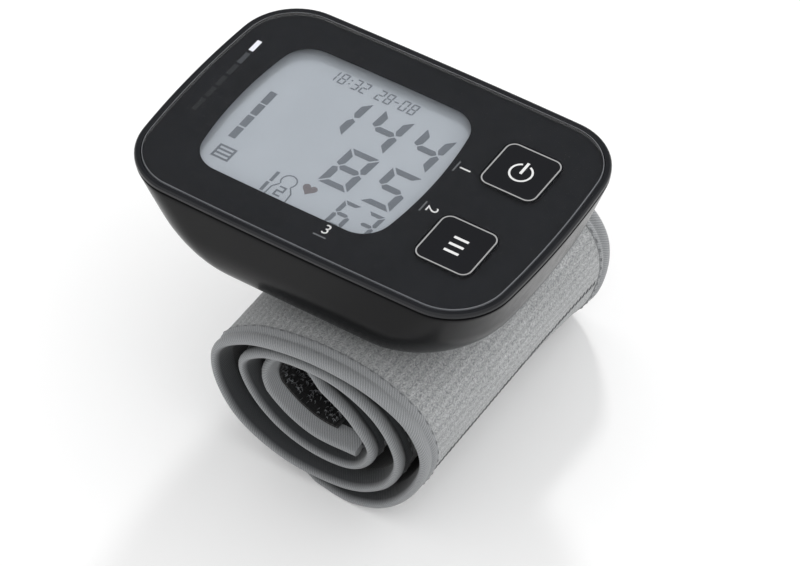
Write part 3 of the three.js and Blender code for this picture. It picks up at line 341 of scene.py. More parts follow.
@dataclass(frozen=True)
class BrushedLoop(Finish):
    """Grey loop cloth: soft mottled loops lying over cross ribs."""

    name: str = "Brushed loop cloth"
    dark: str = "#818385"
    middle: str = "#ABADAE"
    light: str = "#D2D3D4"
    rib_pitch: float = 1.85

    def surface(self, tree: Tree) -> Node:
        """Adds the finish's own nodes.

        Args:
            tree: Node tree that takes them.

        Returns:
            The shader.
        """
        flat = add_node(tree, "UVMap", uv_map="cloth").outputs["UV"]
        # Worm-like loops: noise pulled out across the strap and bent by a slower noise.
        bend = add_node(tree, "TexNoise", {"Vector": flat, "Scale": 0.9, "Detail": 2.0})
        bent = add_node(tree, "VectorMath", {
            0: bend.outputs["Color"], 1: (0.5, 0.5, 0.5),
        }, operation="SUBTRACT").outputs[0]
        moved = add_node(tree, "VectorMath", {
            0: bent, 1: (1.1, 1.1, 0.0), 2: flat,
        }, operation="MULTIPLY_ADD").outputs[0]
        long = add_node(tree, "Mapping", {"Vector": moved, "Scale": (3.2, 1.7, 1.0)})
        loops = add_node(tree, "TexNoise", {
            "Vector": long.outputs[0], "Scale": 1.0, "Detail": 4.0, "Roughness": 0.62,
        }).outputs["Fac"]
        speck = add_node(tree, "TexNoise", {"Vector": flat, "Scale": 5.5, "Detail": 2.0})
        # Ribs of the knitted ground, which show as rows between the loops.
        split = add_node(tree, "SeparateXYZ", {0: moved})
        turn = maths(tree, "MULTIPLY", split.outputs[0], 2 * math.pi / self.rib_pitch)
        rib = maths(tree, "SINE", turn)
        height = maths(tree, "MULTIPLY_ADD", rib, 0.04, loops)
        mottled = maths(tree, "MULTIPLY_ADD", speck.outputs["Fac"], 0.35, height)
        stops = [(0.50, self.dark), (0.68, self.middle), (0.88, self.light)]
        colour = add_node(tree, "ValToRGB", {0: mottled}, stops)
        cloud = add_node(tree, "TexNoise", {"Vector": flat, "Scale": 0.11, "Detail": 2.0})
        clouded = spread(tree, cloud.outputs["Fac"], 0.0, 0.18)
        return add_node(tree, "BsdfPrincipled", {
            "Base Color": blend_colours(tree, clouded, colour.outputs[0], self.dark),
            "Roughness": 0.95,
            "Specular IOR Level": 0.15,
            "Sheen Weight": 0.35,
            "Sheen Roughness": 0.5,
            "Normal": relief(tree, mottled, 0.32),
        })


@dataclass(frozen=True)
class WovenTape(Finish):
    """Tape woven with fine ribs across its length, with painted shade on parts of it where a shade
    colour is given.
    """

    name: str
    dark: str
    light: str
    pitch: float = 0.62
    depth: float = 0.12
    slant: float = 0.0
    # Colour of the painted shade, and where along and across the tape it starts and ends.
    inner: str = ""
    painted_shade_from: float = 5.8
    painted_shade_end: float = 252.0
    between_shade_start: float = 155.0

    def surface(self, tree: Tree) -> Node:
        """Adds the finish's own nodes.

        Args:
            tree: Node tree that takes them.

        Returns:
            The shader.
        """
        flat = add_node(tree, "UVMap", uv_map="cloth").outputs["UV"]
        split = add_node(tree, "SeparateXYZ", {0: flat})
        # Ribs across the tape, each broken into threads that pass over and under.
        leaning = maths(tree, "MULTIPLY_ADD", split.outputs[1], self.slant, split.outputs[0])
        around = maths(tree, "MULTIPLY", leaning, 2 * math.pi / self.pitch)
        rib = maths(tree, "SINE", around)
        over = maths(tree, "SINE",
                     maths(tree, "MULTIPLY", split.outputs[1], 4 * math.pi / self.pitch))
        weave = maths(tree, "MULTIPLY_ADD", over, 0.6, rib)
        fuzz = add_node(tree, "TexNoise", {"Vector": flat, "Scale": 3.0, "Detail": 3.0})
        height = maths(tree, "MULTIPLY_ADD", fuzz.outputs["Fac"], 1.6, weave)
        share = spread(tree, height, 0.0, 1.0, -0.6, 2.2)
        colour = blend_colours(tree, share, self.dark, self.light)
        if self.inner:
            # Painted shade: the half that faces the core is darkened, up to the last flap.
            folded = spread(tree, split.outputs[1], 0.0, 1.0, self.painted_shade_from,
                            self.painted_shade_from + 1.6)
            before = spread(tree, split.outputs[0], 1.0, 0.0, self.painted_shade_end, self.painted_shade_end + 12)
            core = maths(tree, "MULTIPLY", folded, before)
            # From the second turn on, the half between the turns gets the same painted shade.
            flap = spread(tree, split.outputs[1], 1.0, 0.0, 2.2, 3.4)
            later = spread(tree, split.outputs[0], 0.0, 1.0, self.between_shade_start,
                           self.between_shade_start + 12)
            between = maths(tree, "MULTIPLY", flap, later)
            shaded = maths(tree, "MAXIMUM", core, between)
            colour = blend_colours(tree, shaded, colour, self.inner)
        return add_node(tree, "BsdfPrincipled", {
            "Base Color": colour,
            "Roughness": 0.85,
            "Specular IOR Level": 0.25,
            "Sheen Weight": 0.2,
            "Normal": relief(tree, height, self.depth / 2),
        })


@dataclass(frozen=True)
class Glow(Finish):
    """Paper of the studio with a faint glow, or, without a colour, a card that only glows."""

    name: str
    glow: float
    colour: str = ""

    def surface(self, tree: Tree) -> Node:
        """Adds the finish's own nodes.

        Args:
            tree: Node tree that takes them.

        Returns:
            The shader.
        """
        strength = maths(tree, "MULTIPLY", seen_share(tree), self.glow)
        light = add_node(tree, "Emission", {"Color": "#FFFFFF", "Strength": strength})
        if not self.colour:
            return light
        paper = add_node(tree, "BsdfDiffuse", {"Color": self.colour, "Roughness": 0.4})
        return add_node(tree, "AddShader", {0: paper.outputs[0], 1: light.outputs[0]})


# What each finish gives the eye stands beside it.
FINISHES = {
    # Deep gloss that mirrors the studio, a little wavy from the mould.
    Slot.GLOSS_BLACK: Moulded("Polished black plastic", "#1B1C1F", "#202124", 0.2, 2.5, 0.002,
                              specular=0.3),
    # Clear front that adds reflections over the printed film.
    Slot.CLEAR_LENS: ClearAcrylic(),
    # Matt back-printed ink, slightly warm-cold mottled.
    Slot.PRINT_FILM: Moulded("Black screen ink", "#101319", "#0D1016", 0.55, 0.15, 0.002,
                             specular=0.2),
    # Spark-eroded mould texture that breaks up highlights.
    Slot.SATIN_BLACK: Moulded("Satin black plastic", "#0B0B0C", "#08080A", 0.2, 0.22, 0.004,
                              specular=0.1),
    # Grey reflective background of the liquid crystal cell.
    Slot.DISPLAY: Moulded("Display glass", "#B3BAC2", "#AEB5BD", 0.4, 0.08, 0.001, specular=0.3),
    # White moulded parts that hold the display and the lamps.
    Slot.WHITE_PLASTIC: Moulded("White plastic", "#D8D7D1", "#CFCEC8", 0.5, 0.3, 0.006),
    Slot.GREY_PLASTIC: Moulded("Grey plastic", "#6F7275", "#66696C", 0.5, 0.3, 0.006),
    # Dull rubber of the connector strips and the bladder.
    Slot.BLACK_RUBBER: Moulded("Black rubber", "#2A2B2C", "#232425", 0.8, 0.4, 0.02),
    Slot.CLEAR_SILICONE: Moulded("Milky silicone", "#C6CACD", "#B9BDC0", 0.55, 0.6, 0.01),
    Slot.BOARD_GREEN: CircuitBoard(),
    Slot.CHIP_BLACK: Moulded("Chip resin", "#1A1A1B", "#212122", 0.5, 0.1, 0.006),
    # Plated steel with a soft stamped surface.
    Slot.BRIGHT_STEEL: Moulded("Plated steel", "#B9BCC0", "#A6A9AD", 0.28, 0.5, 0.004, 1.0),
    # Printed foil round the cells.
    Slot.CELL_SLEEVE: Moulded("Cell sleeve foil", "#34373B", "#2A2D31", 0.32, 1.2, 0.004, 0.4),
    Slot.GREY_FELT: BrushedLoop(),
    # Smooth tricot that looks nearly black in the core.
    Slot.DARK_LINING: WovenTape("Dark smooth lining", "#17181A", "#242527", 0.45, 0.05),
    # The binding's last colour is painted shade, for the halves that lie in shade inside the roll.
    Slot.GREY_BINDING: WovenTape("Grey woven binding tape", "#7E8082", "#A2A4A6", 0.56, 0.035,
                                  0.6, "#37393B"),
    Slot.BLACK_HOOK: WovenTape("Black hook tape", "#0E0E0F", "#1B1B1C", 1.2, 0.1),
}

# Inks and small details that the record has no slot for keep the nearest one.
KEY_CAP = Moulded("Polished key plastic", "#141519", "#121317", 0.05, 2.5, 0.001, coat=0.8)
# Frosted milled edge of the lens; its light grey on the edge's top is a painted highlight along the
# lens's rim.
MILLED_EDGE_HIGHLIGHT = Moulded("Milled acrylic edge", "#77797D", "#6C6E72", 0.4, 0.4, 0.004, specular=0.4)
KEY_LINE = Moulded("Grey key print", "#A2A2A2", "#989898", 0.5, 0.1, 0.001, specular=0.3)
SYMBOL_PRINT = Moulded("White key print", "#E0E0E0", "#D6D6D6", 0.5, 0.1, 0.001, specular=0.3)
LABEL_PRINT = Moulded("White panel print", "#E2E2E2", "#D5D5D5", 0.6, 0.1, 0.001, specular=0.2)
LINE_PRINT = Moulded("Dim panel print", "#6C6E72", "#646669", 0.6, 0.1, 0.001, specular=0.2)
LAMP_LIT = Moulded("Lit level mark", "#EEEFF6", "#E4E5EE", 0.6, 0.1, 0.001, specular=0.2)
LAMP_DIM = Moulded("Dim level mark", "#45484C", "#404347", 0.6, 0.1, 0.001, specular=0.2)
LAMP_DARK = Moulded("Dark level mark", "#2E3033", "#2B2D30", 0.6, 0.1, 0.001, specular=0.2)
LAMP_OFF = Moulded("Unlit level mark", "#292B2E", "#27292B", 0.6, 0.1, 0.001, specular=0.2)
SEGMENT_INK = Moulded("Dark liquid crystal", "#6F757D", "#747A82", 0.5, 0.1, 0.001, specular=0.2)
HEART_INK = Moulded("Warm liquid crystal", "#757175", "#797579", 0.5, 0.1, 0.001, specular=0.2)
# Black nylon hooks; their mid grey is painted glints, not the nylon's own colour.
HOOK_NYLON_GLINTS = Moulded("Black hook nylon", "#6A6C6F", "#87898C", 0.35, 0.2, 0.004)
SEAM_THREAD = WovenTape("Grey sewing thread", "#6A6C6E", "#8E9092", 0.4, 0.05)
ZIGZAG_THREAD = WovenTape("Dark sewing thread", "#55575A", "#6C6E71", 0.4, 0.05)


class Wardrobe:
    """Makes each finish once and gives it to pieces."""

    def __init__(self) -> None:
        """Starts with no material made."""
        self._made = {}

    def material(self, finish: Finish) -> bpy.types.Material:
        """Returns the material of a finish, made on first use.

        Args:
            finish: Finish.

        Returns:
            The material.
        """
        if finish not in self._made:
            self._made[finish] = finish.build()
        return self._made[finish]

    def dress(self, piece: Piece, slot: Slot, finish: Finish | None = None, body: str = "root",
              replaces: list[str] | None = None) -> None:
        """Gives a piece its finish, or its slot's one, moves it with a body and hides the CAD nodes
        that it stands for.

        Args:
            piece: Mesh object.
            slot: Material slot of the record.
            finish: Finish, where it isn't the slot's own.
            body: CAD body that it moves with.
            replaces: CAD nodes that aren't shown beside it.
        """
        piece.data.materials.clear()
        piece.data.materials.append(self.material(finish or FINISHES[slot]))
        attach(piece, body)
        if replaces:
            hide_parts(*replaces)
        LOG.info("%s: %d faces on %s", piece.name, len(piece.data.polygons), body)


WARDROBE = Wardrobe()


@dataclass(frozen=True)
class Bulged:
    """Outline with four bulged sides and round corners, in millimetres."""

    half_length: float
    half_width: float
    long_radius: float
    short_radius: float
    corner: float
    centre_x: float = 0.0
    side_steps: int = 10
    corner_steps: int = 16

    def grown(self, border: float) -> "Bulged":
        """Returns the outline with its border moved out by a distance.

        Args:
            border: Distance, less than zero to move it in.

        Returns:
            The new outline.
        """
        return Bulged(
            self.half_length + border, self.half_width + border, self.long_radius + border,
            self.short_radius + border, self.corner + border, self.centre_x,
            self.side_steps, self.corner_steps,
        )

    def quarter(self) -> Polygon:
        """Works out the quarter from the middle of the right side to the middle of the far one.

        Returns:
            Its points about the outline's centre.
        """
        long_y = self.half_width - self.long_radius
        short_x = self.half_length - self.short_radius
        away = math.hypot(short_x, long_y)
        long_reach = self.long_radius - self.corner
        short_reach = self.short_radius - self.corner
        along = (long_reach ** 2 - short_reach ** 2 + away ** 2) / (2 * away)
        aside = math.sqrt(long_reach ** 2 - along ** 2)
        corner_x = short_x / away * along - long_y / away * aside
        corner_y = long_y - long_y / away * along - short_x / away * aside
        start = math.atan2(corner_y, corner_x - short_x)
        end = math.atan2(corner_y - long_y, corner_x)
        arcs = [
            (short_x, 0.0, self.short_radius, 0.0, start, self.side_steps),
            (corner_x, corner_y, self.corner, start, end, self.corner_steps),
            (0.0, long_y, self.long_radius, end, math.pi / 2, self.side_steps),
        ]
        points = []
        for centre_x, centre_y, radius, first, last, steps in arcs:
            for step in range(steps):
                angle = first + (last - first) * step / steps
                points.append((centre_x + radius * math.cos(angle),
                               centre_y + radius * math.sin(angle)))
        return points + [(0.0, self.half_width)]

    def ring(self, z: float) -> Ring:
        """Returns the outline's points at a height, going round once.

        Args:
            z: Height.

        Returns:
            The points.
        """
        quarter = self.quarter()
        half = quarter + [(-x, y) for x, y in reversed(quarter[1:-1])] + [(-quarter[0][0], 0.0)]
        full = half + [(x, -y) for x, y in reversed(half[1:-1])]
        return [Vector((x + self.centre_x, y, z)) for x, y in full]


@dataclass(frozen=True)
class RoundedBox:
    """Rectangle with round corners, in millimetres."""

    half_x: float
    half_y: float
    radius: float
    centre_x: float = 0.0
    centre_y: float = 0.0
    steps: int = 10

    def grown(self, border: float) -> "RoundedBox":
        """Returns the rectangle with its border moved out by a distance.

        Args:
            border: Distance, less than zero to move it in.

        Returns:
            The new rectangle.
        """
        return RoundedBox(
            self.half_x + border, self.half_y + border, self.radius + border,
            self.centre_x, self.centre_y, self.steps,
        )

    def ring(self, z: float) -> Ring:
        """Returns the rectangle's points at a height, going round once.

        Args:
            z: Height.

        Returns:
            The points.
        """
        points = []
        for quarter, (side_x, side_y) in enumerate(((1, 1), (-1, 1), (-1, -1), (1, -1))):
            middle_x = self.centre_x + side_x * (self.half_x - self.radius)
            middle_y = self.centre_y + side_y * (self.half_y - self.radius)
            for step in range(self.steps + 1):
                angle = math.pi / 2 * (quarter + step / self.steps)
                points.append(Vector((middle_x + self.radius * math.cos(angle),
                                      middle_y + self.radius * math.sin(angle), z)))
        return points


def pick(*pieces: Piece) -> None:
    """Selects only some pieces and makes the first one active.

    Args:
        pieces: Pieces.
    """
    bpy.ops.object.select_all(action="DESELECT")
    for piece in pieces:
        piece.select_set(True)
    bpy.context.view_layer.objects.active = pieces[0]


def linked(name: str, data: bpy.types.ID) -> Piece:
    """Puts an object round some data into the scene and returns it.

    Args:
        name: Name of the object.
        data: Mesh, lamp or camera data.

    Returns:
        The object.
    """
    made = bpy.data.objects.new(name, data)
    bpy.context.scene.collection.objects.link(made)
    return made


def from_mesh(name: str, mesh: Mesh) -> Piece:
    """Makes a piece of a finished mesh, with all faces turned outward.

    Args:
        name: Name of the piece.
        mesh: Mesh, which is used up.

    Returns:
        The piece.
    """
    bmesh.ops.recalc_face_normals(mesh, faces=mesh.faces)
    data = bpy.data.meshes.new(name)
    mesh.to_mesh(data)
    mesh.free()
    return linked(name, data)


def edit(piece: Piece) -> None:
    """Opens one piece in edit mode with everything on it selected.

    Args:
        piece: Piece.
    """
    pick(piece)
    bpy.ops.object.mode_set(mode="EDIT")
    bpy.ops.mesh.select_all(action="SELECT")


def tidy_normals(piece: Piece) -> None:
    """Merges points that share a place and turns all faces outward.

    Args:
        piece: Piece.
    """
    edit(piece)
    bpy.ops.mesh.remove_doubles(threshold=MERGE_DISTANCE * MM)
    bpy.ops.mesh.normals_make_consistent(inside=False)
    bpy.ops.object.mode_set(mode="OBJECT")


def smooth(piece: Piece, degrees: float = 35.0) -> None:
    """Shades a piece smooth, except over edges sharper than an angle."""
    pick(piece)
    bpy.ops.object.shade_smooth_by_angle(angle=math.radians(degrees))


def lofted(name: str, rings: list[Ring], looped: bool = False) -> Piece:
    """Makes a rigid solid by extruding a circle from ring to ring.

    Args:
        name: Name of the piece.
        rings: Rings with the same number of points, in millimetres.
        looped: True where the last ring meets the first one, so that nothing is capped.

    Returns:
        The piece.
    """
    bpy.ops.mesh.primitive_circle_add(vertices=len(rings[0]), radius=MM)
    piece = bpy.context.object
    piece.name = name
    edit(piece)
    for _ in rings[1:]:
        bpy.ops.mesh.extrude_region_move(TRANSFORM_OT_translate={"value": (0, 0, MM)})
    bpy.ops.mesh.select_all(action="SELECT")
    if not looped:
        bpy.ops.mesh.fill_holes(sides=0)
    bpy.ops.object.mode_set(mode="OBJECT")
    places = [axis * MM for ring in rings for point in ring for axis in point]
    piece.data.vertices.foreach_set("co", places)
    piece.data.update()
    tidy_normals(piece)
    return piece


def apply_modifier(piece: Piece, kind: str, **settings: object) -> None:
    """Adds a modifier with its settings and applies it.

    Args:
        piece: Piece that takes it.
        kind: Type of the modifier.
        settings: Properties of the modifier.
    """
    pick(piece)
    bpy.ops.object.modifier_add(type=kind)
    modifier = piece.modifiers[-1]
    for name, value in settings.items():
        setattr(modifier, name, value)
    bpy.ops.object.modifier_apply(modifier=modifier.name)


def combine(piece: Piece, tool: Piece, cut: Cut) -> None:
    """Cuts a solid with a second one, or keeps what both share, and uses the second one up.

    Args:
        piece: Solid that is changed.
        tool: Solid that it is cut with.
        cut: What is done with it.
    """
    apply_modifier(piece, "BOOLEAN", operation=cut.value, object=tool, solver="EXACT")
    bpy.data.objects.remove(tool)


def block(low: tuple, high: tuple) -> Piece:
    """Makes a plain cutting block between two corners, in millimetres.

    Args:
        low: Corner with the lowest X, Y and Z.
        high: Corner with the highest ones.

    Returns:
        The block.
    """
    half = [(h - l) / 2 for l, h in zip(low, high)]
    middle = [(h + l) / 2 for l, h in zip(low, high)]
    rings = [
        [Vector((middle[0] + x * half[0], middle[1] + y * half[1], z))
         for x, y in ((1, 1), (-1, 1), (-1, -1), (1, -1))]
        for z in (low[2], high[2])
    ]
    return lofted("block", rings)


def copy_of_node(name: str, node: str) -> Piece:
    """Makes a merged copy of a CAD node, with its own mesh and clean faces.

    Args:
        name: Name of the copy.
        node: CAD node.

    Returns:
        The copy.
    """
    piece = linked(name, frame["nodes"][node].data.copy())
    tidy_normals(piece)
    edit(piece)
    bpy.ops.mesh.dissolve_limited(angle_limit=math.radians(0.5))
    bpy.ops.object.mode_set(mode="OBJECT")
    return piece


def joined(name: str, pieces: list[Piece]) -> Piece:
    """Joins pieces into one object and returns it.

    Args:
        name: Name of the object.
        pieces: Pieces, which are used up.

    Returns:
        The object.
    """
    pick(*pieces)
    bpy.ops.object.join()
    pieces[0].name = name
    return pieces[0]


def flat_marks(name: str, polygons: list[Polygon], z: float,
               height: float = 0.02, rounding: float = 0.0) -> Piece:
    """Makes thin printed marks from polygons.

    Args:
        name: Name of the piece.
        polygons: Corner points of each mark, in millimetres.
        z: Height of the marks' underside.
        height: Thickness of the ink.
        rounding: Radius of the marks' corners.

    Returns:
        The piece.
    """
    bpy.ops.mesh.primitive_circle_add(vertices=len(polygons[0]), radius=MM, fill_type="NGON")
    piece = bpy.context.object
    piece.name = name
    edit(piece)
    for polygon in polygons[1:]:
        bpy.ops.mesh.primitive_circle_add(vertices=len(polygon), radius=MM, fill_type="NGON")
    bpy.ops.object.mode_set(mode="OBJECT")
    places = [axis * MM for polygon in polygons for x, y in polygon for axis in (x, y, z)]
    piece.data.vertices.foreach_set("co", places)
    piece.data.update()
    edit(piece)
    if rounding:
        bpy.ops.mesh.bevel(offset=rounding * MM, segments=3, affect="VERTICES")
    bpy.ops.mesh.extrude_region_move(TRANSFORM_OT_translate={"value": (0, 0, height * MM)})
    bpy.ops.mesh.select_all(action="SELECT")
    bpy.ops.mesh.normals_make_consistent(inside=False)
    bpy.ops.object.mode_set(mode="OBJECT")
    return piece


def bar(x: float, y: float, width: float, length: float) -> Polygon:
    """Returns a rectangle about a centre.

    Args:
        x: Place of its centre.
        y: Place of its centre.
        width: Size along X.
        length: Size along Y.

    Returns:
        Its corner points.
    """
    across, along = width / 2, length / 2
    return [(x + across, y + along), (x - across, y + along),
            (x - across, y - along), (x + across, y - along)]


def stroke(points: Polygon, width: float,
           closed: bool = False) -> list[Polygon]:
    """Draws a line of some width as quads that meet at its corners.

    Args:
        points: Points of the line.
        width: Its width.
        closed: True where the last point meets the first one.

    Returns:
        One quad for each stretch.
    """
    count = len(points)
    sides = []
    for index, point in enumerate(points):
        here = Vector(point)
        last = Vector(points[(index - 1) % count]) if closed or index else None
        following = Vector(points[(index + 1) % count]) if closed or index < count - 1 else None
        incoming = (here - last).normalized() if last else (following - here).normalized()
        outgoing = (following - here).normalized() if following else incoming
        mean = (incoming + outgoing).normalized()
        reach = width / 2 / max(0.3, mean.dot(outgoing))
        across = Vector((-mean.y, mean.x)) * reach
        sides.append((here + across, here - across))
    pairs = list(zip(sides, sides[1:])) + ([(sides[-1], sides[0])] if closed else [])
    return [[tuple(a[0]), tuple(a[1]), tuple(b[1]), tuple(b[0])] for a, b in pairs]


def arc(x: float, y: float, radius: float, start: float, end: float,
        steps: int = 24) -> Polygon:
    """Returns points of an arc, its angles in degrees."""
    angles = [math.radians(start + (end - start) * step / steps) for step in range(steps + 1)]
    return [(x + radius * math.cos(angle), y + radius * math.sin(angle)) for angle in angles]


@dataclass(frozen=True)
class Layer:
    """One see-through layer: how thick it is and how much it bends light."""

    thickness: float
    index: float = 1.0


def seen_shift(layers: list[Layer]) -> Vector:
    """Works out how far a mark under some layers lies from where the camera sees it.

    Args:
        layers: Layers from the lens's top down to the mark.

    Returns:
        Shift from the seen place on the lens's top to the mark's own place.
    """
    sine = math.hypot(CAMERA_BACK.x, CAMERA_BACK.y)
    run = 0.0
    for layer in layers:
        bent = sine / layer.index
        run += layer.thickness * bent / math.sqrt(1 - bent ** 2)
    return Vector((-CAMERA_BACK.x, -CAMERA_BACK.y)) / sine * run


LENS = Layer(0.8, ACRYLIC_INDEX)
PANEL_OUTLINE = Bulged(42.0, 28.035, 1800.0, 193.0, 11.7)
WINDOW_OUTLINE = Bulged(23.1, 19.6, 1150.0, 86.0, 6.5, -8.6)
KEY_X = 27.15
KEY_YS = {"power_key": 11.6, "memory_key": -11.6}
KEY_OUTLINE = RoundedBox(6.6, 6.5, 2.6, KEY_X)
LENS_BOTTOM = 60.59


def key_outline(key: str) -> RoundedBox:
    """Returns the outline of a key at its place."""
    return replace(KEY_OUTLINE, centre_y=KEY_YS[key])


@dataclass(frozen=True)
class Case:
    """Lens, film, rim, lower case and battery cover, sizes in millimetres."""

    rim_border: float = 1.5
    lens_bottom: float = LENS_BOTTOM
    lens_top: float = 61.39
    lens_step: float = 1.8
    lens_edge: float = 0.14
    lens_bevel: float = 0.06
    edge_lap: float = 0.005
    key_gap: float = 0.04
    ink_reach: float = 0.5
    overrun: float = 1.0
    film_inset: float = 0.1
    ledge_top: float = 60.41
    film_bottom: float = 60.43
    film_top: float = 60.55
    rim_top: float = 61.29
    rim_bottom: float = 60.29
    rim_round: float = 0.45
    rim_steps: int = 8
    recess_border: float = 0.2
    recess_bevel: float = 0.12
    foot_bevel: float = 0.1
    floor_reach: float = 4.0
    cover_floor_top: float = 60.19
    cover_floor_bottom: float = 59.19
    skirt_bottom: float = 57.09
    skirt_inset: float = 2.4
    skirt_wall: float = 1.1
    case_top: float = 59.94
    case_bottom: float = 40.79
    case_floor: float = 42.39
    case_wall: float = 1.8
    bottom_reach: float = 4.6
    bottom_rise: float = 10.4
    inner_reach: float = 3.4
    top_round: float = 0.3
    floor_steps: int = 16
    wall_steps: int = 10
    lip_steps: int = 4
    bracket_inset: float = 10.5
    bottom_half_length: float = 37.9
    bottom_half_width: float = 29.4
    bottom_long_radius: float = 10000.0
    bottom_short_radius: float = 131.0
    bottom_corner: float = 22.4
    door_half_width: float = 13.9
    door_low: float = 44.29
    door_high: float = 54.29
    end_wall: float = 34.9
    screw_x: float = 29.5
    screw_y: float = 20.6
    bore_radius: float = 1.9
    bore_depth: float = 4.0
    wall_gap: float = 0.15
    floor_gap: float = 0.05
    skirt_gap: float = 0.3
    door_outside: float = 46.0
    cover_bevel: float = 0.12
    bracket_bevel: float = 0.3
    bracket_cut: float = 12.0

    def cut_keys(self, piece: Piece, border: float, low: float, high: float) -> None:
        """Cuts both keys' openings through a piece.

        Args:
            piece: Piece that is cut.
            border: Gap round the keys' caps.
            low: Underside of the piece.
            high: Top of the piece.
        """
        for key in KEY_YS:
            outline = key_outline(key).grown(border)
            rings = [outline.ring(low - self.overrun), outline.ring(high + self.overrun)]
            combine(piece, lofted("opening", rings), Cut.TAKE)

    def outline(self, z: float, inset: float) -> Bulged:
        """Works out the lower case's outline at a height, moved in by an inset.

        Args:
            z: Height.
            inset: Inset from the outer skin.

        Returns:
            The outline.
        """
        share = (self.case_top - z) / (self.case_top - self.case_bottom)
        top = PANEL_OUTLINE.grown(self.rim_border)

        def mix(first: float, second: float) -> float:
            """Returns the value between the top's and the bottom's."""
            return first + (second - first) * share

        return Bulged(
            mix(top.half_length, self.bottom_half_length) - inset,
            mix(top.half_width, self.bottom_half_width) - inset,
            1 / mix(1 / top.long_radius, 1 / self.bottom_long_radius) - inset,
            1 / mix(1 / top.short_radius, 1 / self.bottom_short_radius) - inset,
            mix(top.corner, self.bottom_corner) - inset,
        )

    def bowl(self, inset: float, floor: float, top: float, reach: float,
             lip: float = 0.0) -> list[Ring]:
        """Works out rings of the bowl-shaped case from its floor up.

        Args:
            inset: Inset from the outer skin.
            floor: Height of the bowl's floor.
            top: Height of its top.
            reach: How far the round between floor and wall reaches inward.
            lip: Radius of the top edge.

        Returns:
            The rings.
        """
        rings = []
        rise = self.bottom_rise + self.case_bottom - floor
        for step in range(self.floor_steps + 1):
            angle = math.pi / 2 * step / self.floor_steps
            z = floor + rise * (1 - math.cos(angle))
            rings.append(self.outline(z, inset + reach * (1 - math.sin(angle))).ring(z))
        start = floor + rise
        for step in range(1, self.wall_steps + 1):
            z = start + (top - lip - start) * step / self.wall_steps
            rings.append(self.outline(z, inset).ring(z))
        for step in range(1, self.lip_steps + 1 if lip else 1):
            angle = math.pi / 2 * step / self.lip_steps
            z = top - lip * (1 - math.sin(angle))
            rings.append(self.outline(z, inset + lip * (1 - math.cos(angle))).ring(z))
        return rings

    def make_lens(self) -> None:
        """Makes the clear front with inked key openings, and its milled edge, whose light grey is
        partly a painted highlight.
        """
        body = PANEL_OUTLINE.grown(-self.lens_edge)
        lens = lofted("panel_lens", [body.ring(self.lens_bottom), body.ring(self.lens_top)])
        self.cut_keys(lens, self.key_gap, self.lens_bottom, self.lens_top)
        smooth(lens, 12)
        WARDROBE.dress(lens, Slot.CLEAR_LENS, replaces=["front_lens"])
        # The openings' walls are inked, so that no bright line stands round the keys.
        lens.data.materials.append(WARDROBE.material(FINISHES[Slot.PRINT_FILM]))
        for face in lens.data.polygons:
            middle = face.center / MM
            beside_key = any(
                max(abs(middle.x - KEY_X), abs(middle.y - y)) < KEY_OUTLINE.half_x + self.ink_reach
                for y in KEY_YS.values())
            if beside_key and abs(face.normal.z) < 0.5:
                face.material_index = 1
        inner = body.grown(self.edge_lap)
        # Edge ring, grey partly from frosted milling and partly as a painted highlight along the
        # rim.
        rings = [PANEL_OUTLINE.ring(self.lens_bottom),
                 PANEL_OUTLINE.ring(self.lens_top - self.lens_bevel),
                 PANEL_OUTLINE.grown(-self.lens_bevel).ring(self.lens_top),
                 inner.ring(self.lens_top), inner.ring(self.lens_bottom),
                 PANEL_OUTLINE.ring(self.lens_bottom)]
        edge = lofted("lens_edge", rings, looped=True)
        smooth(edge, 50)
        WARDROBE.dress(edge, Slot.CLEAR_LENS, MILLED_EDGE_HIGHLIGHT)

    def make_film(self) -> None:
        """Makes the printed film with its display window and key openings."""
        outer = PANEL_OUTLINE.grown(-self.film_inset)
        shift = seen_shift([LENS])
        aside = Vector((shift.x, shift.y, 0))
        low = [p + aside for p in WINDOW_OUTLINE.ring(self.film_bottom)]
        high = [p + aside for p in WINDOW_OUTLINE.ring(self.film_top)]
        rings = [outer.ring(self.film_bottom), outer.ring(self.film_top), high, low,
                 outer.ring(self.film_bottom)]
        film = lofted("printed_film", rings, looped=True)
        self.cut_keys(film, self.key_gap / 2, self.film_bottom, self.film_top)
        smooth(film, 25)
        WARDROBE.dress(film, Slot.PRINT_FILM, replaces=["window_film"])

    def make_rim(self) -> None:
        """Makes the glossy rim with the lens's ledge, the floor under the film and the skirt."""
        outer = PANEL_OUTLINE.grown(self.rim_border)
        floor = PANEL_OUTLINE.grown(-self.lens_step - self.floor_reach)
        recess = PANEL_OUTLINE.grown(self.recess_border)
        ledge = recess.grown(-self.lens_step)
        skirt = outer.grown(-self.skirt_inset)
        behind = skirt.grown(-self.skirt_wall)
        profile = [(floor, self.cover_floor_bottom), (floor, self.cover_floor_top),
                   (ledge, self.cover_floor_top), (ledge, self.ledge_top),
                   (recess, self.ledge_top), (recess, self.rim_top - self.recess_bevel),
                   (recess.grown(self.recess_bevel), self.rim_top)]
        for step in range(self.rim_steps + 1):
            angle = math.pi / 2 * (1 - step / self.rim_steps)
            profile.append((outer.grown(-self.rim_round * (1 - math.cos(angle))),
                            self.rim_top - self.rim_round * (1 - math.sin(angle))))
        profile += [(outer, self.rim_bottom + self.foot_bevel),
                    (outer.grown(-self.foot_bevel), self.rim_bottom), (skirt, self.rim_bottom),
                    (skirt, self.skirt_bottom), (behind, self.skirt_bottom),
                    (behind, self.cover_floor_bottom), profile[0]]
        rim = lofted("glossy_rim", [outline.ring(z) for outline, z in profile], looped=True)
        smooth(rim, 40)
        WARDROBE.dress(rim, Slot.GLOSS_BLACK, replaces=["top_cover"])

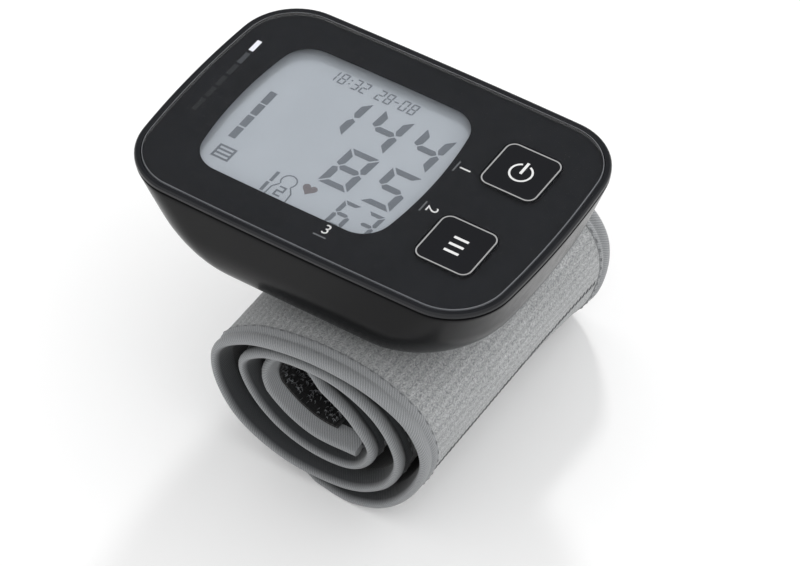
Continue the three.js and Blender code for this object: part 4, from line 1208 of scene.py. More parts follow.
    def make_lower_case(self) -> None:
        """Makes the satin case: a smooth shell, and the inner walls taken from the CAD node."""
        rings = self.bowl(0.0, self.case_bottom, self.case_top, self.bottom_reach, self.top_round)
        inner = self.bowl(self.case_wall, self.case_floor, self.case_top, self.inner_reach)
        shell = lofted("case_shell", rings + list(reversed(inner)))
        walls = copy_of_node("case_walls", "lower_case")
        keep = lofted("keep", self.bowl(self.case_wall + self.wall_gap,
                                        self.case_floor + self.floor_gap,
                                        self.skirt_bottom - self.skirt_gap, self.inner_reach))
        combine(walls, keep, Cut.KEEP)
        WARDROBE.dress(walls, Slot.SATIN_BLACK, replaces=["lower_case"])
        door = block((-self.door_outside, -self.door_half_width, self.door_low),
                     (-self.end_wall, self.door_half_width, self.door_high))
        combine(shell, door, Cut.TAKE)
        for side in (-1, 1):
            bore = RoundedBox(self.bore_radius, self.bore_radius, self.bore_radius,
                              self.screw_x, side * self.screw_y)
            rings = [bore.ring(self.case_bottom - self.overrun),
                     bore.ring(self.case_bottom + self.bore_depth)]
            combine(shell, lofted("bore", rings), Cut.TAKE)
        tidy_normals(shell)
        smooth(shell, 30)
        WARDROBE.dress(shell, Slot.SATIN_BLACK, replaces=["lower_case"])

    def make_battery_cover(self) -> None:
        """Makes the battery cover from its CAD node with softened edges."""
        cover = copy_of_node("battery_door", "battery_cover")
        skin = self.bowl(0.0, self.case_bottom, self.case_top, self.bottom_reach)
        combine(cover, lofted("skin", skin), Cut.KEEP)
        apply_modifier(cover, "BEVEL", width=self.cover_bevel * MM, segments=2,
                       limit_method="ANGLE",
                       angle_limit=math.radians(40))
        tidy_normals(cover)
        smooth(cover, 35)
        WARDROBE.dress(cover, Slot.SATIN_BLACK, body="battery_cover", replaces=["battery_cover"])

    def make_bracket(self) -> None:
        """Makes the bracket between case and cuff with softened edges."""
        bracket = copy_of_node("saddle_bracket", "cuff_bracket")
        foot = self.outline(self.case_bottom, self.bracket_inset)
        rings = [foot.ring(self.case_bottom - self.bracket_cut),
                 foot.ring(self.case_bottom + self.bracket_cut)]
        combine(bracket, lofted("foot", rings), Cut.KEEP)
        apply_modifier(bracket, "BEVEL", width=self.bracket_bevel * MM, segments=2,
                       limit_method="ANGLE", angle_limit=math.radians(50))
        tidy_normals(bracket)
        smooth(bracket, 35)
        WARDROBE.dress(bracket, Slot.SATIN_BLACK, replaces=["cuff_bracket"])

    def build(self) -> None:
        """Makes every piece of the case."""
        self.make_lens()
        self.make_film()
        self.make_rim()
        self.make_lower_case()
        self.make_battery_cover()
        self.make_bracket()


@dataclass(frozen=True)
class Numeral:
    """Size and stroke of a seven-segment numeral, in millimetres."""

    half_width: float
    half_height: float
    upright: float
    level: float
    gap: float
    slant: float = 0.076

    SEGMENTS = {
        "0": "abcdef", "1": "bc", "2": "abged", "3": "abgcd", "4": "fgbc", "5": "afgcd",
        "6": "afgedc", "8": "abcdefg", "-": "g",
    }

    def segment(self, letter: str) -> Polygon:
        """Works out one segment's corner points about the numeral's centre.

        Args:
            letter: Segment from a, the top one, clockwise to g, the middle one.

        Returns:
            The points, upright.
        """
        wide, high = self.half_width, self.half_height
        thick, flat, gap = self.upright, self.level, self.gap
        if letter in "ad":
            points = [(-wide + gap, high), (wide - gap, high),
                      (wide - gap - flat, high - flat), (-wide + gap + flat, high - flat)]
            side_x, side_y = 1, 1 if letter == "a" else -1
        elif letter == "g":
            tip, shoulder, half = wide - thick * 0.68, wide - thick * 1.1, thick * 0.455
            points = [(-tip, 0), (-shoulder, half), (shoulder, half), (tip, 0),
                      (shoulder, -half), (-shoulder, -half)]
            side_x, side_y = 1, 1
        else:
            points = [(wide, high - gap), (wide - thick, high - thick - gap),
                      (wide - thick, thick * 0.75), (wide - thick * 0.55, gap / 2 + 0.05),
                      (wide, thick * 0.3 + gap / 2)]
            side_x = 1 if letter in "bc" else -1
            side_y = 1 if letter in "bf" else -1
        return [(x * side_x, y * side_y) for x, y in points]

    def polygons(self, figure: str, x: float, y: float) -> list[Polygon]:
        """Returns a figure's segments about a centre, slanted.

        Args:
            figure: Figure, one of the keys of SEGMENTS.
            x: Place of its centre.
            y: Place of its centre.

        Returns:
            The segments' corner points.
        """
        return [
            [(x + px + self.slant * py, y + py) for px, py in self.segment(letter)]
            for letter in self.SEGMENTS[figure]
        ]


@dataclass(frozen=True)
class Display:
    """Liquid crystal cell with its figures, sizes in millimetres."""

    low_x: float = -33.6
    high_x: float = 16.4
    half_width: float = 21.5
    bottom: float = 58.19
    image: float = 58.62
    top: float = 59.99
    big: Numeral = Numeral(3.42, 5.5, 1.65, 1.4, 0.3)
    small: Numeral = Numeral(1.95, 3.7, 1.0, 0.9, 0.2)
    tiny: Numeral = Numeral(0.78, 1.55, 0.33, 0.33, 0.06)

    def shift(self) -> Vector:
        """Returns how far the image lies from where the camera sees it."""
        return seen_shift([LENS, Layer(LENS_BOTTOM - self.top),
                           Layer(self.top - self.image, ACRYLIC_INDEX)])

    def placed(self, polygons: list[Polygon]) -> list[Polygon]:
        """Moves marks from where they are seen to their own place."""
        shift = self.shift()
        return [[(x + shift.x, y + shift.y) for x, y in polygon] for polygon in polygons]

    def make_cell(self) -> None:
        """Makes the grey ground plate and the clear plate over it."""
        centre_x, half_x = (self.low_x + self.high_x) / 2, (self.high_x - self.low_x) / 2
        outline = RoundedBox(half_x, self.half_width, 0.8, centre_x, 0.0)
        ground = lofted("display_ground", [outline.ring(self.bottom), outline.ring(self.image)])
        smooth(ground)
        WARDROBE.dress(ground, Slot.DISPLAY, replaces=["display_glass"])
        front = outline.grown(-0.2)
        rings = [front.ring(self.image + 0.06), front.ring(self.top - 0.1),
                 front.grown(-0.1).ring(self.top)]
        glass = lofted("display_front", rings)
        smooth(glass, 25)
        WARDROBE.dress(glass, Slot.CLEAR_LENS)

    def figures(self) -> list[Polygon]:
        """Lists the big and small figures and the bars beside them.

        Returns:
            The shapes' corner points.
        """
        polygons = []
        for text, y in (("144", 6.75), (" 85", -5.8)):
            for figure, x in zip(text, (-11.4, -1.55, 8.35)):
                if figure != " ":
                    polygons += self.big.polygons(figure, x, y)
        for figure, x in (("6", 4.1), ("3", 9.6)):
            polygons += self.small.polygons(figure, x, -16.5)
        # Level bars at the left, the highest one longer.
        for high, low in ((4.4, 0.65), (0.3, -3.0), (-3.45, -6.75), (-7.2, -10.5)):
            polygons.append(bar(-26.38, (high + low) / 2, 1.65, high - low))
        return polygons

    def icons(self) -> list[Polygon]:
        """Lists the small icons: list box, user marks and their outlines.

        Returns:
            The shapes' corner points.
        """
        polygons = [bar(-26.95, -14.75, 0.5, 3.7), bar(-23.35, -14.75, 0.5, 3.7)]
        polygons += [bar(-25.15, y, 3.1, 0.5) for y in (-13.15, -14.22, -15.28, -16.35)]
        polygons += [bar(-12.95, -14.85, 0.75, 2.9), bar(-13.2, -18.0, 0.75, 2.6)]
        polygons += stroke(arc(-9.75, -14.6, 1.65, -45, 225), 0.3)
        body = [(-11.0, -15.9), (-12.0, -17.3), (-12.1, -19.6)]
        mirror = [(-8.5, -15.9), (-7.45, -17.3), (-7.3, -19.6)]
        polygons += stroke(body, 0.3) + stroke(mirror, 0.3)
        polygons += stroke([(-10.5, -16.5), (-9.1, -16.5), (-9.1, -17.7), (-10.5, -17.7),
                            (-10.5, -18.9), (-9.1, -18.9)], 0.42)
        return polygons

    def clock(self) -> list[Polygon]:
        """Lists the row of tiny figures above.

        Returns:
            The shapes' corner points.
        """
        polygons = []
        for figure, x in (("1", -19.0), ("8", -16.75), ("3", -13.65), ("2", -11.65),
                          ("2", -7.9), ("8", -5.85), ("-", -4.1), ("0", -2.25), ("8", -0.15)):
            polygons += self.tiny.polygons(figure, x, 14.95)
        polygons += [bar(-15.05, 15.5, 0.36, 0.36), bar(-15.15, 14.4, 0.36, 0.36)]
        return polygons

    def heart(self) -> Polygon:
        """Works out the heart's outline.

        Returns:
            Its corner points.
        """
        points = []
        for step in range(48):
            angle = 2 * math.pi * step / 48
            x = 16 * math.sin(angle) ** 3
            y = (13 * math.cos(angle) - 5 * math.cos(2 * angle) - 2 * math.cos(3 * angle)
                 - math.cos(4 * angle))
            points.append((-5.2 + x * 0.1, -14.25 + y * 0.1))
        return points

    def build(self) -> None:
        """Makes the display's pieces."""
        self.make_cell()
        level = self.image + 0.01
        rows = (("display_figures", self.figures(), 0.12, SEGMENT_INK),
                ("display_icons", self.icons(), 0.0, SEGMENT_INK),
                ("display_clock", self.clock(), 0.04, SEGMENT_INK),
                ("display_heart", [self.heart()], 0.0, HEART_INK))
        for name, polygons, rounding, finish in rows:
            marks = flat_marks(name, self.placed(polygons), level, 0.02, rounding)
            WARDROBE.dress(marks, Slot.DISPLAY, finish)


@dataclass(frozen=True)
class Keys:
    """Both keys with their printed lines and signs, sizes in millimetres."""

    top: float = 61.34
    flange: float = 0.6
    flange_bottom: float = 59.39
    flange_top: float = 60.19
    stem_radius: float = 2.2
    stem_bottom: float = 58.19
    edge: float = 0.08
    draft: float = 0.08
    line_half: float = 6.12
    line_corner: float = 1.9
    line_width: float = 0.29
    ink_lift: float = 0.005
    ink_height: float = 0.01
    sign_x: float = 27.2
    power_centre_y: float = 11.4
    power_radius: float = 2.3
    power_width: float = 0.42
    power_gap_end: float = 112.0
    power_gap_start: float = 428.0
    power_bar_y: float = 12.75
    bar_width: float = 0.6
    bar_length: float = 3.3
    list_ys: tuple[float, ...] = (-9.9, -11.75, -13.6)

    def make_cap(self, key: str) -> None:
        """Makes a key with its stem, flange and cap.

        Args:
            key: Name of the key.
        """
        cap = key_outline(key)
        stem = RoundedBox(self.stem_radius, self.stem_radius, self.stem_radius,
                          KEY_X, KEY_YS[key])
        rings = [stem.ring(self.stem_bottom), stem.ring(self.flange_bottom),
                 cap.grown(self.flange).ring(self.flange_bottom),
                 cap.grown(self.flange).ring(self.flange_top),
                 cap.grown(self.draft).ring(self.flange_top),
                 cap.grown(-self.draft / 4).ring(self.top - self.edge),
                 cap.grown(-self.edge).ring(self.top)]
        piece = lofted(key + "_cap", rings)
        smooth(piece, 30)
        WARDROBE.dress(piece, Slot.GLOSS_BLACK, KEY_CAP, body=key, replaces=[key])

    def make_prints(self) -> None:
        """Makes the outline on both keys, the power sign and the list sign."""
        level = self.top + self.ink_lift
        for key, y in KEY_YS.items():
            box = RoundedBox(self.line_half, self.line_half, self.line_corner, KEY_X, y)
            points = [(p.x, p.y) for p in box.ring(0.0)]
            outline = flat_marks(key + "_line", stroke(points, self.line_width, True), level,
                                 self.ink_height)
            WARDROBE.dress(outline, Slot.GLOSS_BLACK, KEY_LINE, body=key)
        power = stroke(arc(self.sign_x, self.power_centre_y, self.power_radius,
                           self.power_gap_end, self.power_gap_start, 40), self.power_width)
        power.append(bar(self.sign_x, self.power_bar_y, self.bar_width, self.bar_length))
        marks = flat_marks("power_sign", power, level, self.ink_height)
        WARDROBE.dress(marks, Slot.GLOSS_BLACK, SYMBOL_PRINT, body="power_key")
        lines = [bar(self.sign_x, y, self.bar_length, self.bar_width) for y in self.list_ys]
        marks = flat_marks("list_sign", lines, level, self.ink_height, 0.08)
        WARDROBE.dress(marks, Slot.GLOSS_BLACK, SYMBOL_PRINT, body="memory_key")

    def build(self) -> None:
        """Makes both keys and what is printed on them."""
        for key in KEY_YS:
            self.make_cap(key)
        self.make_prints()


@dataclass(frozen=True)
class PanelPrint:
    """Marks printed on the film: level indicator and plain row numbers, in millimetres."""

    level: float = 60.555
    mark_x: float = -37.2
    mark_width: float = 1.1
    figure_size: float = 3.5

    # Each figure with its place and turn, and each line with its place, width and length.
    ROW_FIGURES = (("1", 17.4, 6.4, -90.0), ("2", 17.9, -6.1, -90.0), ("3", 3.8, -21.5, 0.0))
    ROW_LINES = ((15.6, 6.3, 0.34, 2.9), (16.0, -6.2, 0.34, 2.9), (3.5, -23.5, 2.9, 0.34))

    def make_indicator(self) -> None:
        """Makes the six marks of the level indicator, the top one lit."""
        shift = seen_shift([LENS])
        groups = (("level_mark_lit", LAMP_LIT, ((11.8, 15.1),)),
                  ("level_mark_dim", LAMP_DIM, ((7.65, 11.0),)),
                  ("level_mark_dark", LAMP_DARK, ((3.8, 7.0),)),
                  ("level_marks_off", LAMP_OFF, ((0.06, 3.1), (-3.6, -0.6), (-8.1, -4.4))))
        for name, finish, spans in groups:
            bars = [bar(self.mark_x + shift.x, (low + high) / 2 + shift.y, self.mark_width,
                        high - low) for low, high in spans]
            marks = flat_marks(name, bars, self.level, 0.02, 0.12)
            WARDROBE.dress(marks, Slot.PRINT_FILM, finish)

    def make_figures(self) -> None:
        """Makes the plain numbers of the three rows."""
        shift = seen_shift([LENS])
        pieces = []
        for text, x, y, turn in self.ROW_FIGURES:
            bpy.ops.object.text_add()
            figure = bpy.context.object
            figure.data.body = text
            figure.data.size = self.figure_size * MM
            figure.data.extrude = 0.01 * MM
            figure.data.align_x, figure.data.align_y = "CENTER", "CENTER"
            figure.location = Vector((x + shift.x, y + shift.y, self.level + 0.01)) * MM
            figure.rotation_euler = (0.0, 0.0, math.radians(turn))
            bpy.ops.object.convert(target="MESH")
            bpy.ops.object.transform_apply(location=True, rotation=True, scale=True)
            pieces.append(bpy.context.object)
        figures = joined("row_figures", pieces)
        WARDROBE.dress(figures, Slot.PRINT_FILM, LABEL_PRINT)
        lines = [bar(x + shift.x, y + shift.y, width, length)
                 for x, y, width, length in self.ROW_LINES]
        marks = flat_marks("row_lines", lines, self.level, 0.02)
        WARDROBE.dress(marks, Slot.PRINT_FILM, LINE_PRINT)

    def build(self) -> None:
        """Makes all the panel's marks."""
        self.make_indicator()
        self.make_figures()


class StrapPath:
    """Middle line of the rolled strap, in millimetres.

    It is the frame's line, but for the last flap, which lies nearer to the turn below it.
    """

    SHARES = (
        (-0.38, -0.99), (-0.08, -1), (0.24, -1), (0.58, -0.82), (0.86, -0.37), (1, 0.22),
        (0.88, 0.64), (0.56, 0.9), (0.16, 0.99), (-0.24, 0.95), (-0.64, 0.78), (-0.92, 0.45),
        (-0.94, 0.03), (-0.76, -0.46), (-0.4, -0.76), (0, -0.83), (0.36, -0.74), (0.64, -0.43),
        (0.74, 0), (0.58, 0.46), (0.24, 0.74), (-0.14, 0.77), (-0.5, 0.64), (-0.7, 0.37),
        (-0.62, -0.03), (-0.36, -0.39), (0, -0.54), (0.32, -0.46), (0.46, -0.15), (0.3, 0.19),
        (0.02, 0.44), (-0.22, 0.57), (-0.45, 0.49), (-0.53, 0.26), (-0.37, -0.04),
        (-0.08, -0.25), (0.34, -0.25),
    )
    CENTRE_X = 8.0
    HALF_WIDTH = 25.0
    HALF_HEIGHT = 18.5
    HALF_THICKNESS = 1.3
    FLOOR_CUT = 0.5
    SAMPLES = 600

    def __init__(self) -> None:
        """Sets the line on the floor and measures its length."""
        self._points = [Vector((self.CENTRE_X + x * self.HALF_WIDTH, z * self.HALF_HEIGHT))
                        for x, z in self.SHARES]
        self._lift = 0.0
        lowest = min(self.beside(i / self.SAMPLES, self.HALF_THICKNESS).y
                     for i in range(self.SAMPLES + 1))
        self._lift = -lowest - self.FLOOR_CUT
        self._lengths = [0.0]
        last = self.point(0.0)
        for step in range(1, self.SAMPLES * 4 + 1):
            here = self.point(step / (self.SAMPLES * 4))
            self._lengths.append(self._lengths[-1] + (here - last).length)
            last = here
        self.length = self._lengths[-1]

    def point(self, share: float) -> Vector:
        """Works out a point of the centripetal curve.

        Args:
            share: Share of the line's points that lie before it.

        Returns:
            The point as X and Z.
        """
        points = self._points
        along = min(max(share, 0.0), 1.0) * (len(points) - 1)
        index = min(int(along), len(points) - 2)
        weight = along - index
        second, third = points[index], points[index + 1]
        first = points[index - 1] if index else second * 2 - third
        fourth = points[index + 2] if index + 2 < len(points) else third * 2 - second
        steps = [max((b - a).length ** 0.5, 1e-4)
                 for a, b in ((first, second), (second, third), (third, fourth))]
        before, here, after = steps
        start = ((second - first) / before - (third - first) / (before + here)
                 + (third - second) / here) * here
        end = ((third - second) / here - (fourth - second) / (here + after)
               + (fourth - third) / after) * here
        cube = second * 2 - third * 2 + start + end
        square = third * 3 - second * 3 - start * 2 - end
        place = second + start * weight + square * weight ** 2 + cube * weight ** 3
        return place + Vector((0.0, self._lift))

    def beside(self, share: float, offset: float) -> Vector:
        """Returns the point at an offset to the outside of the line.

        Args:
            share: Share along the line.
            offset: Offset, less than zero toward the core.

        Returns:
            The point as X and Z.
        """
        ahead, behind = min(share + 1e-4, 1.0), max(share - 1e-4, 0.0)
        tangent = (self.point(ahead) - self.point(behind)).normalized()
        return self.point(share) + Vector((tangent.y, -tangent.x)) * offset

    def share_at(self, length: float) -> float:
        """Returns the share at which a length of the line lies behind.

        Args:
            length: Length.

        Returns:
            The share.
        """
        lengths = self._lengths
        low, high = 0, len(lengths) - 1
        while high - low > 1:
            middle = (low + high) // 2
            if lengths[middle] <= length:
                low = middle
            else:
                high = middle
        step = lengths[high] - lengths[low]
        return (low + (length - lengths[low]) / step) / (len(lengths) - 1)

    def length_at(self, share: float) -> float:
        """Returns the length of the line that lies before a share."""
        return self._lengths[round(share * (len(self._lengths) - 1))]


@dataclass(frozen=True)
class Cuff:
    """Rolled strap with its bindings, lining, hook patch and bladder, in millimetres."""

    half_breadth: float = 34.8
    cloth_edge: float = 30.9
    cloth_outer: float = 1.3
    cloth_inner: float = 0.5
    end_binding: float = 3.0
    end_gap: float = 0.3
    end_outer: float = 1.42
    end_inner: float = -1.38
    station: float = 0.9
    row: float = 1.1
    relief_depth: float = 0.07
    patch_span: tuple[float, float] = (0.885, 0.985)
    patch_edge: float = 31.9
    patch_outer: float = -1.6
    patch_inner: float = -2.1
    bladder_span: tuple[float, float] = (0.12, 0.5)
    bladder_edge: float = 27.9
    bladder_taper: float = 1.5
    bladder_half_thickness: float = 0.35
    stitch_length: float = 1.5
    stitch_pitch: float = 2.3
    stitch_radius: float = 0.16
    stitch_inset: float = 4.35
    stitch_rise: float = 1.5
    stitch_dip: float = 0.22
    hook_count: int = 1800
    hook_radius: float = 0.12
    hook_margin: float = 0.4
    hook_heights: tuple[float, float] = (0.45, 0.75)
    hook_root: float = 2.05
    hook_turn: float = 1.25
    hook_bend: float = 0.32
    hook_droop: float = 0.105
    flare: float = 3.0
    flare_share: float = 0.09
    flare_reach: float = 0.05
    zigzag_share: float = 0.1255
    zigzag_pitch: float = 1.3
    zigzag_reach: float = 0.9
    zigzag_margin: float = 1.0
    zigzag_rise: float = 1.4
    zigzag_dip: float = 0.25

    def recess(self, share: float) -> float:
        """Works out how far the front edge lies back, as the inner turns are pushed in.

        Args:
            share: Share along the strap.

        Returns:
            The distance.
        """
        knots = ((0.0, 4.2), (0.03, 1.2), (0.06, 0.2), (0.1, 0.0), (0.36, 0.0), (0.5, 0.5),
                 (0.66, 0.9), (0.8, 1.6), (0.835, 2.2), (0.865, 4.6), (0.895, 4.0), (0.93, 1.6),
                 (1.0, 1.5))
        for (start, first), (end, second) in zip(knots, knots[1:]):
            if share <= end:
                return first + (second - first) * (share - start) / (end - start)
        return knots[-1][1]

    def place(self, path: StrapPath, share: float, offset: float, y: float) -> Vector:
        """Places a point of the strap, with the push at the front edge and a flare at the back.

        Args:
            path: Middle line.
            share: Share along it.
            offset: Offset to its outside.
            y: Place across the strap.

        Returns:
            The point.
        """
        away = abs(share - self.flare_share) / self.flare_reach
        flare = self.flare * max(0.0, y / self.half_breadth) ** 2 * max(0.0, 1 - away ** 2) ** 2
        side = path.beside(share, offset + flare)
        pushed = y + self.recess(share) * max(0.0, -y) / self.half_breadth
        return Vector((side.x, pushed, max(0.0, side.y)))

    def shares(self, path: StrapPath, start: float, end: float) -> list[float]:
        """Lists evenly spaced shares between two lengths of the line.

        Args:
            path: Middle line.
            start: First length.
            end: Last length.

        Returns:
            The shares.
        """
        count = max(2, round((end - start) / self.station))
        return [path.share_at(start + (end - start) * step / count) for step in range(count + 1)]

    def swept(self, name: str, path: StrapPath, shares: list[float], section: Polygon,
              rough: float = 0.0) -> Piece:
        """Sweeps a closed section along the strap.

        Args:
            name: Name of the piece.
            path: Middle line.
            shares: Stations along it.
            section: Points (offset, y) of the section, going round once.
            rough: Depth of soft unevenness on the outside.

        Returns:
            The piece, with a map in millimetres named cloth.
        """
        mesh = bmesh.new()
        rows = []
        arounds = [0.0]
        for (first, first_y), (second, second_y) in zip(section, section[1:] + section[:1]):
            arounds.append(arounds[-1] + math.hypot(second - first, second_y - first_y))
        for share in shares:
            length = path.length_at(share)
            row = []
            for offset, y in section:
                bump = 0.0
                if rough and offset > 0:
                    bump = rough * noise.noise(Vector((length / 2.6, y / 2.6, 0.0)))
                row.append(mesh.verts.new(self.place(path, share, offset + bump, y) * MM))
            rows.append(row)
        layer = mesh.loops.layers.uv.new("cloth")
        count = len(section)
        for index, (near, far) in enumerate(zip(rows, rows[1:])):
            lengths = (path.length_at(shares[index]), path.length_at(shares[index + 1]))
            for side in range(count):
                after = (side + 1) % count
                face = mesh.faces.new((near[side], near[after], far[after], far[side]))
                maps = ((lengths[0], arounds[side]), (lengths[0], arounds[side + 1]),
                        (lengths[1], arounds[side + 1]), (lengths[1], arounds[side]))
                for loop, place in zip(face.loops, maps):
                    loop[layer].uv = place
                face.smooth = True
        mesh.faces.new(rows[0])
        mesh.faces.new(list(reversed(rows[-1])))
        piece = from_mesh(name, mesh)
        smooth(piece, 60)
        return piece

    def layer_section(self, outer: float, inner: float, edge: float) -> Polygon:
        """Returns the section of a flat layer between two offsets.

        Args:
            outer: Offset of its outside.
            inner: Offset of its inside.
            edge: Half its breadth.

        Returns:
            Its points.
        """
        count = round(2 * edge / self.row)
        across = [-edge + 2 * edge * step / count for step in range(count + 1)]
        return [(outer, y) for y in across] + [(inner, y) for y in reversed(across)]

    def binding_section(self, side: int) -> Polygon:
        """Returns the section of tape folded round an edge: flap, crease, bead and back.

        Args:
            side: One for the rear edge, minus one for the front one.

        Returns:
            Its points.
        """
        outside = [(1.22, 30.2), (1.44, 30.15), (1.52, 30.5), (1.46, 31.1), (1.26, 31.5),
                   (1.0, 31.75), (0.95, 31.95), (1.05, 32.2), (1.3, 32.6), (1.42, 33.1),
                   (1.42, 33.6), (1.3, 34.1), (1.02, 34.52), (0.62, 34.76), (0.3, 34.8)]
        inside = [(-0.02, 34.68), (-0.26, 34.4), (-0.42, 34.0), (-0.55, 33.4), (-0.74, 32.7),
                  (-0.98, 32.0), (-1.22, 31.3), (-1.4, 30.7)]
        tuck = [(-1.38, 30.15), (-1.22, 30.2), (-1.2, 31.0), (-0.3, 32.2), (0.8, 31.0)]
        return [(offset, side * y) for offset, y in outside + inside + tuck]

    def make_cloth(self, path: StrapPath) -> list[Piece]:
        """Makes the outer cloth and the lining, and returns both.

        Args:
            path: Middle line.

        Returns:
            Both pieces.
        """
        start = self.end_binding + self.end_gap
        shares = self.shares(path, start, path.length - start)
        outer = self.swept("outer_cloth", path, shares, self.layer_section(
            self.cloth_outer, self.cloth_inner, self.cloth_edge), self.relief_depth)
        WARDROBE.dress(outer, Slot.GREY_FELT, replaces=["cuff_outer_fabric"])
        lining = self.swept("lining_cloth", path, shares, self.layer_section(
            -self.cloth_inner, -self.cloth_outer, self.cloth_edge))
        WARDROBE.dress(lining, Slot.DARK_LINING, replaces=["cuff_lining"])
        return [outer, lining]

    def make_bindings(self, path: StrapPath) -> list[Piece]:
        """Makes the tape round all four edges of the strap and returns its pieces.

        Args:
            path: Middle line.

        Returns:
            The four tapes.
        """
        full = self.shares(path, 0.0, path.length)
        made = []
        for side, node in ((-1, "front_edge_binding"), (1, "rear_edge_binding")):
            tape = self.swept(node.replace("edge_binding", "tape"), path, full,
                              self.binding_section(side))
            WARDROBE.dress(tape, Slot.GREY_BINDING, replaces=[node])
            made.append(tape)
        ends = (("tail_tape", 0.0, self.end_binding, "tail_binding"),
                ("inner_end_tape", path.length - self.end_binding, path.length,
                 "inner_end_binding"))
        for name, start, end, node in ends:
            shares = [path.share_at(start + (end - start) * step / 6) for step in range(7)]
            tape = self.swept(name, path, shares, self.layer_section(
                self.end_outer, self.end_inner, self.cloth_edge))
            WARDROBE.dress(tape, Slot.GREY_BINDING, replaces=[node])
            made.append(tape)
        return made

    def make_stitches(self, path: StrapPath) -> list[Piece]:
        """Makes the stitches along both edge tapes and the zigzag seam, and returns all three.

        Args:
            path: Middle line.

        Returns:
            The three pieces.
        """
        made = []
        for name, side in (("front_stitches", -1), ("rear_stitches", 1), ("zigzag_seam", 0)):
            mesh = bmesh.new()
            layer = mesh.loops.layers.uv.new("cloth")
            if side:
                start = self.end_binding
                while start + self.stitch_length < path.length - self.end_binding:
                    self._add_stitch(mesh, layer, path, start, side)
                    start += self.stitch_pitch
            else:
                self._add_zigzag(mesh, layer, path)
            piece = from_mesh(name, mesh)
            WARDROBE.dress(piece, Slot.GREY_BINDING, SEAM_THREAD if side else ZIGZAG_THREAD)
            made.append(piece)
        return made

    def _add_stitch(self, mesh: Mesh, layer: bmesh.types.BMLayerItem, path: StrapPath,
                    start: float, side: int) -> None:
        """Adds one stitch, a short thread whose ends dip into the tape.

        Args:
            mesh: Mesh that takes it.
            layer: Its map.
            path: Middle line.
            start: Length of the line at which it starts.
            side: One for the rear edge, minus one for the front one.
        """
        y = side * (self.half_breadth - self.stitch_inset)
        spots = [(start + self.stitch_length * step / 4, y,
                  self.arched(step, self.stitch_rise, self.stitch_dip)) for step in range(5)]
        self._add_thread(mesh, layer, path, spots)

    def _add_zigzag(self, mesh: Mesh, layer: bmesh.types.BMLayerItem, path: StrapPath) -> None:
        """Adds the zigzag of thread that closes the outer cloth along the roll's lower right.

        Args:
            mesh: Mesh that takes it.
            layer: Its map.
            path: Middle line.
        """
        middle = path.length_at(self.zigzag_share)
        y = -self.cloth_edge + self.zigzag_margin
        while y < self.cloth_edge - self.zigzag_margin:
            spots = [(middle + self.zigzag_reach * (step - 2) / 2,
                      y + self.zigzag_pitch * step / 10,
                      self.arched(step, self.zigzag_rise, self.zigzag_dip)) for step in range(5)]
            self._add_thread(mesh, layer, path, spots)
            y += self.zigzag_pitch

    def _add_thread(self, mesh: Mesh, layer: bmesh.types.BMLayerItem, path: StrapPath,
                    spots: list[tuple]) -> None:
        """Adds a thread through places.

        Args:
            mesh: Mesh that takes it.
            layer: Its map.
            path: Middle line.
            spots: Length along the line, place across and height over it, for each place.
        """
        rings = [self._ring(mesh, path, path.share_at(length), (rise, y), self.stitch_radius, 6)
                 for length, y, rise in spots]
        self._close_tube(mesh, rings, layer)

    def _ring(self, mesh: Mesh, path: StrapPath, share: float, middle: Point, radius: float,
              corners: int) -> list[bmesh.types.BMVert]:
        """Adds a small ring of points across a thread.

        Args:
            mesh: Mesh that takes them.
            path: Middle line.
            share: Share along it.
            middle: Offset and place across the strap of the ring's centre.
            radius: Radius of the thread.
            corners: Number of points.

        Returns:
            The points.
        """
        offset, y = middle
        angles = [math.tau / corners * corner for corner in range(corners)]
        return [mesh.verts.new(self.place(path, share, offset + radius * math.sin(angle),
                                          y + radius * math.cos(angle)) * MM) for angle in angles]

    @staticmethod
    def _close_tube(mesh: Mesh, rings: list[list],
                    layer: bmesh.types.BMLayerItem | None = None) -> None:
        """Joins rings of points to a closed tube, with a plain map where a layer is given.

        Args:
            mesh: Mesh that holds them.
            rings: Rings with the same number of points.
            layer: Map of the mesh.
        """
        count = len(rings[0])
        for near, far in zip(rings, rings[1:]):
            for corner in range(count):
                after = (corner + 1) % count
                face = mesh.faces.new((near[corner], near[after], far[after], far[corner]))
                face.smooth = True
                if layer is not None:
                    for loop, place in zip(face.loops, ((0, 0), (0, 1), (1, 1), (1, 0))):
                        loop[layer].uv = place
        mesh.faces.new(rings[0])
        mesh.faces.new(list(reversed(rings[-1])))

    @staticmethod
    def arched(step: int, rise: float, dip: float) -> float:
        """Returns the height of a stitch at one of its five places, its ends lower by a dip."""
        return rise - dip * (1 - math.sin(math.pi * step / 4))

    def make_hooks(self, path: StrapPath) -> list[Piece]:
        """Makes the hook patch with its curled hooks and returns both pieces.

        Args:
            path: Middle line.

        Returns:
            Both pieces.
        """
        low, high = (path.length_at(share) for share in self.patch_span)
        patch = self.swept("hook_tape", path, self.shares(path, low, high),
                           self.layer_section(self.patch_outer, self.patch_inner, self.patch_edge))
        WARDROBE.dress(patch, Slot.BLACK_HOOK, replaces=["hook_patch"])
        chance = random.Random(11)
        mesh = bmesh.new()
        for _ in range(self.hook_count):
            length = chance.uniform(low + self.hook_margin, high - self.hook_margin)
            y = chance.uniform(-self.patch_edge + self.hook_margin,
                               self.patch_edge - self.hook_margin)
            self._add_hook(mesh, path, length, y, chance)
        # The curls' mid grey is painted glints.
        curls = from_mesh("hook_curls", mesh)
        WARDROBE.dress(curls, Slot.BLACK_HOOK, HOOK_NYLON_GLINTS)
        return [patch, curls]

